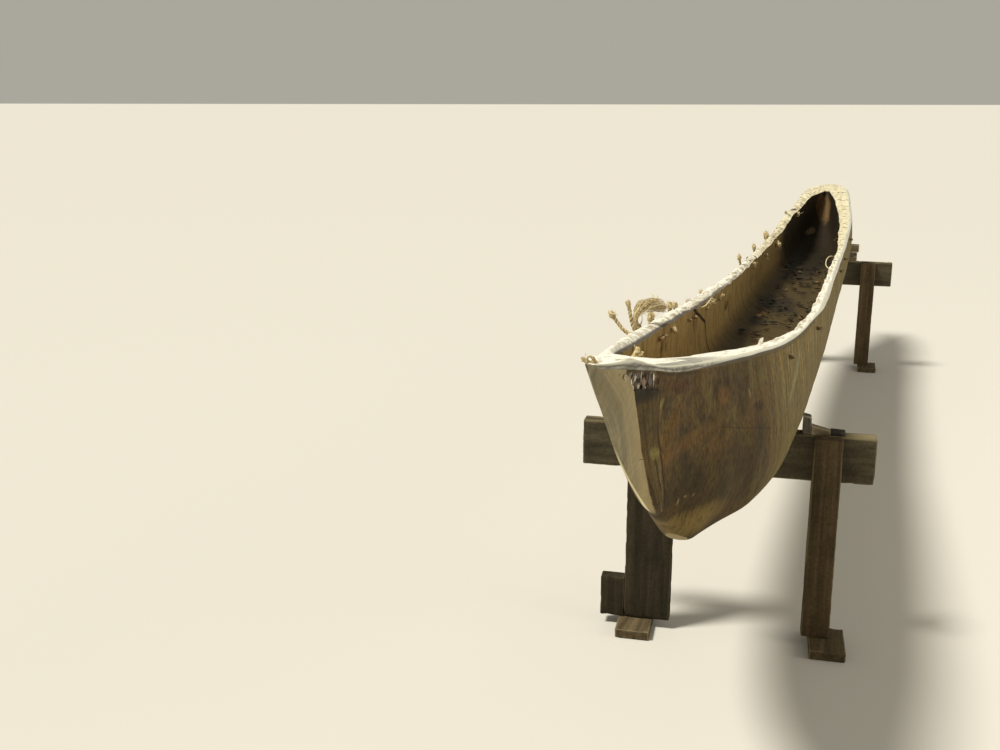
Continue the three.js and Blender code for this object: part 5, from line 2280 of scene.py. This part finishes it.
@dataclass
class Studio:
    """Camera, floor and soft light.

    Attributes:
        eye: where the photographer stood.
        heading: the view's turn from the middle line, in degrees.
        dip: how far it looks down, in degrees.
        lens: focal length on a sensor 36 mm wide.
        key_way: the direction towards the main light.
        side_place: where the weak side lamp hangs.
        side_aim: what that lamp faces.
    """

    eye: Place = (4.696, 0.426, 1.6)
    heading: float = 19.7
    dip: float = 14.04
    lens: float = 39.6
    key_way: Place = (0.34, -0.46, 1.0)
    side_place: Place = (1.5, 5.5, 2.6)
    side_aim: Place = (1.0, 0.0, 0.9)

    @staticmethod
    def hang(data: Any, place: Sequence[float], turn: Any) -> Any:
        """Puts a camera or lamp in the scene.

        Args:
            data: the camera or lamp, whose name the object takes.
            place: where it hangs.
            turn: its rotation as a quaternion.

        Returns:
            The object.
        """
        thing = placed(data)
        thing.location = place
        thing.rotation_euler = turn.to_euler()
        return thing

    def camera(self) -> None:
        """Sets the camera at the photograph's view."""
        turn, dip = math.radians(self.heading), math.radians(self.dip)
        ahead = Vector((-math.cos(turn) * math.cos(dip), -math.sin(turn) * math.cos(dip), -math.sin(dip)))
        data = bpy.data.cameras.new("view")
        data.lens, data.sensor_width, data.clip_start = self.lens, 36.0, 0.05
        bpy.context.scene.camera = self.hang(data, self.eye, ahead.to_track_quat("-Z", "Y"))

    def floor(self) -> None:
        """Lays a wide pale floor."""
        mesh = bpy.data.meshes.new("floor")
        reach = 400.0
        corners = [(-reach, -reach, 0.0), (reach, -reach, 0.0), (reach, reach, 0.0), (-reach, reach, 0.0)]
        mesh.from_pydata(corners, [], [(0, 1, 2, 3)])
        mesh.materials.append(Graph("floor_paint", 0.9, 0.1).done((0.6, 0.58, 0.53)))
        thing = placed(mesh)

    def light(self) -> None:
        """Sets the soft key over the bow's starboard side, a weak side lamp and an even pale sky."""
        key = bpy.data.lights.new("key", "SUN")
        key.energy, key.angle, key.color = 3.8, math.radians(12.0), (1.0, 0.96, 0.86)
        way = Vector(self.key_way)
        self.hang(key, way * 6.0, way.to_track_quat("Z", "Y"))
        side = bpy.data.lights.new("side", "AREA")
        side.size, side.energy, side.color = 3.0, 90.0, (1.0, 0.93, 0.8)
        place = Vector(self.side_place)
        self.hang(side, place, (place - Vector(self.side_aim)).to_track_quat("Z", "Y"))
        world = bpy.data.worlds.new("studio")
        world.use_nodes = True
        sky = world.node_tree.nodes["Background"]
        sky.inputs["Color"].default_value = (0.96, 0.92, 0.8, 1.0)
        sky.inputs["Strength"].default_value = 0.42
        bpy.context.scene.world = world
        bpy.context.scene.view_settings.view_transform = "Standard"

    def build(self) -> None:
        """Makes the camera, floor and lights."""
        self.camera()
        self.floor()
        self.light()


def main() -> None:
    """Loads the frame, builds the canoe piece by piece and notes its size."""
    logging.basicConfig(level=logging.INFO, format="%(name)s: %(message)s")
    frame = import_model()
    Studio().build()
    form = HullForm()
    Hull(form).build(HullWood().build())
    BowStrip(form).build(StripWood().build())
    NotchSplinters(form).build(TORN_WOOD.build())
    cut = Sennit("sennit_cut", (0.03, 0.022, 0.012), (0.12, 0.09, 0.045), (0.3, 0.24, 0.14))
    Lashings(form).build(Sennit().build(), cut.build())
    Litter(form).build(LEAF_LITTER.build())
    woods = {name: TimberWood(name, *look).build() for name, look in WOODS.items()}
    finishes = [woods[f"{part}_wood"] for part in ("beam", "post", "dark_post", "sole")]
    Trestle("near", True, *finishes).build(frame)
    Trestle("far", False, *finishes).build(frame)
    Chocks().build(frame, *(woods[f"{part}_wood"] for part in ("chock", "slat", "thin")))


if __name__ == "__main__":
    main()
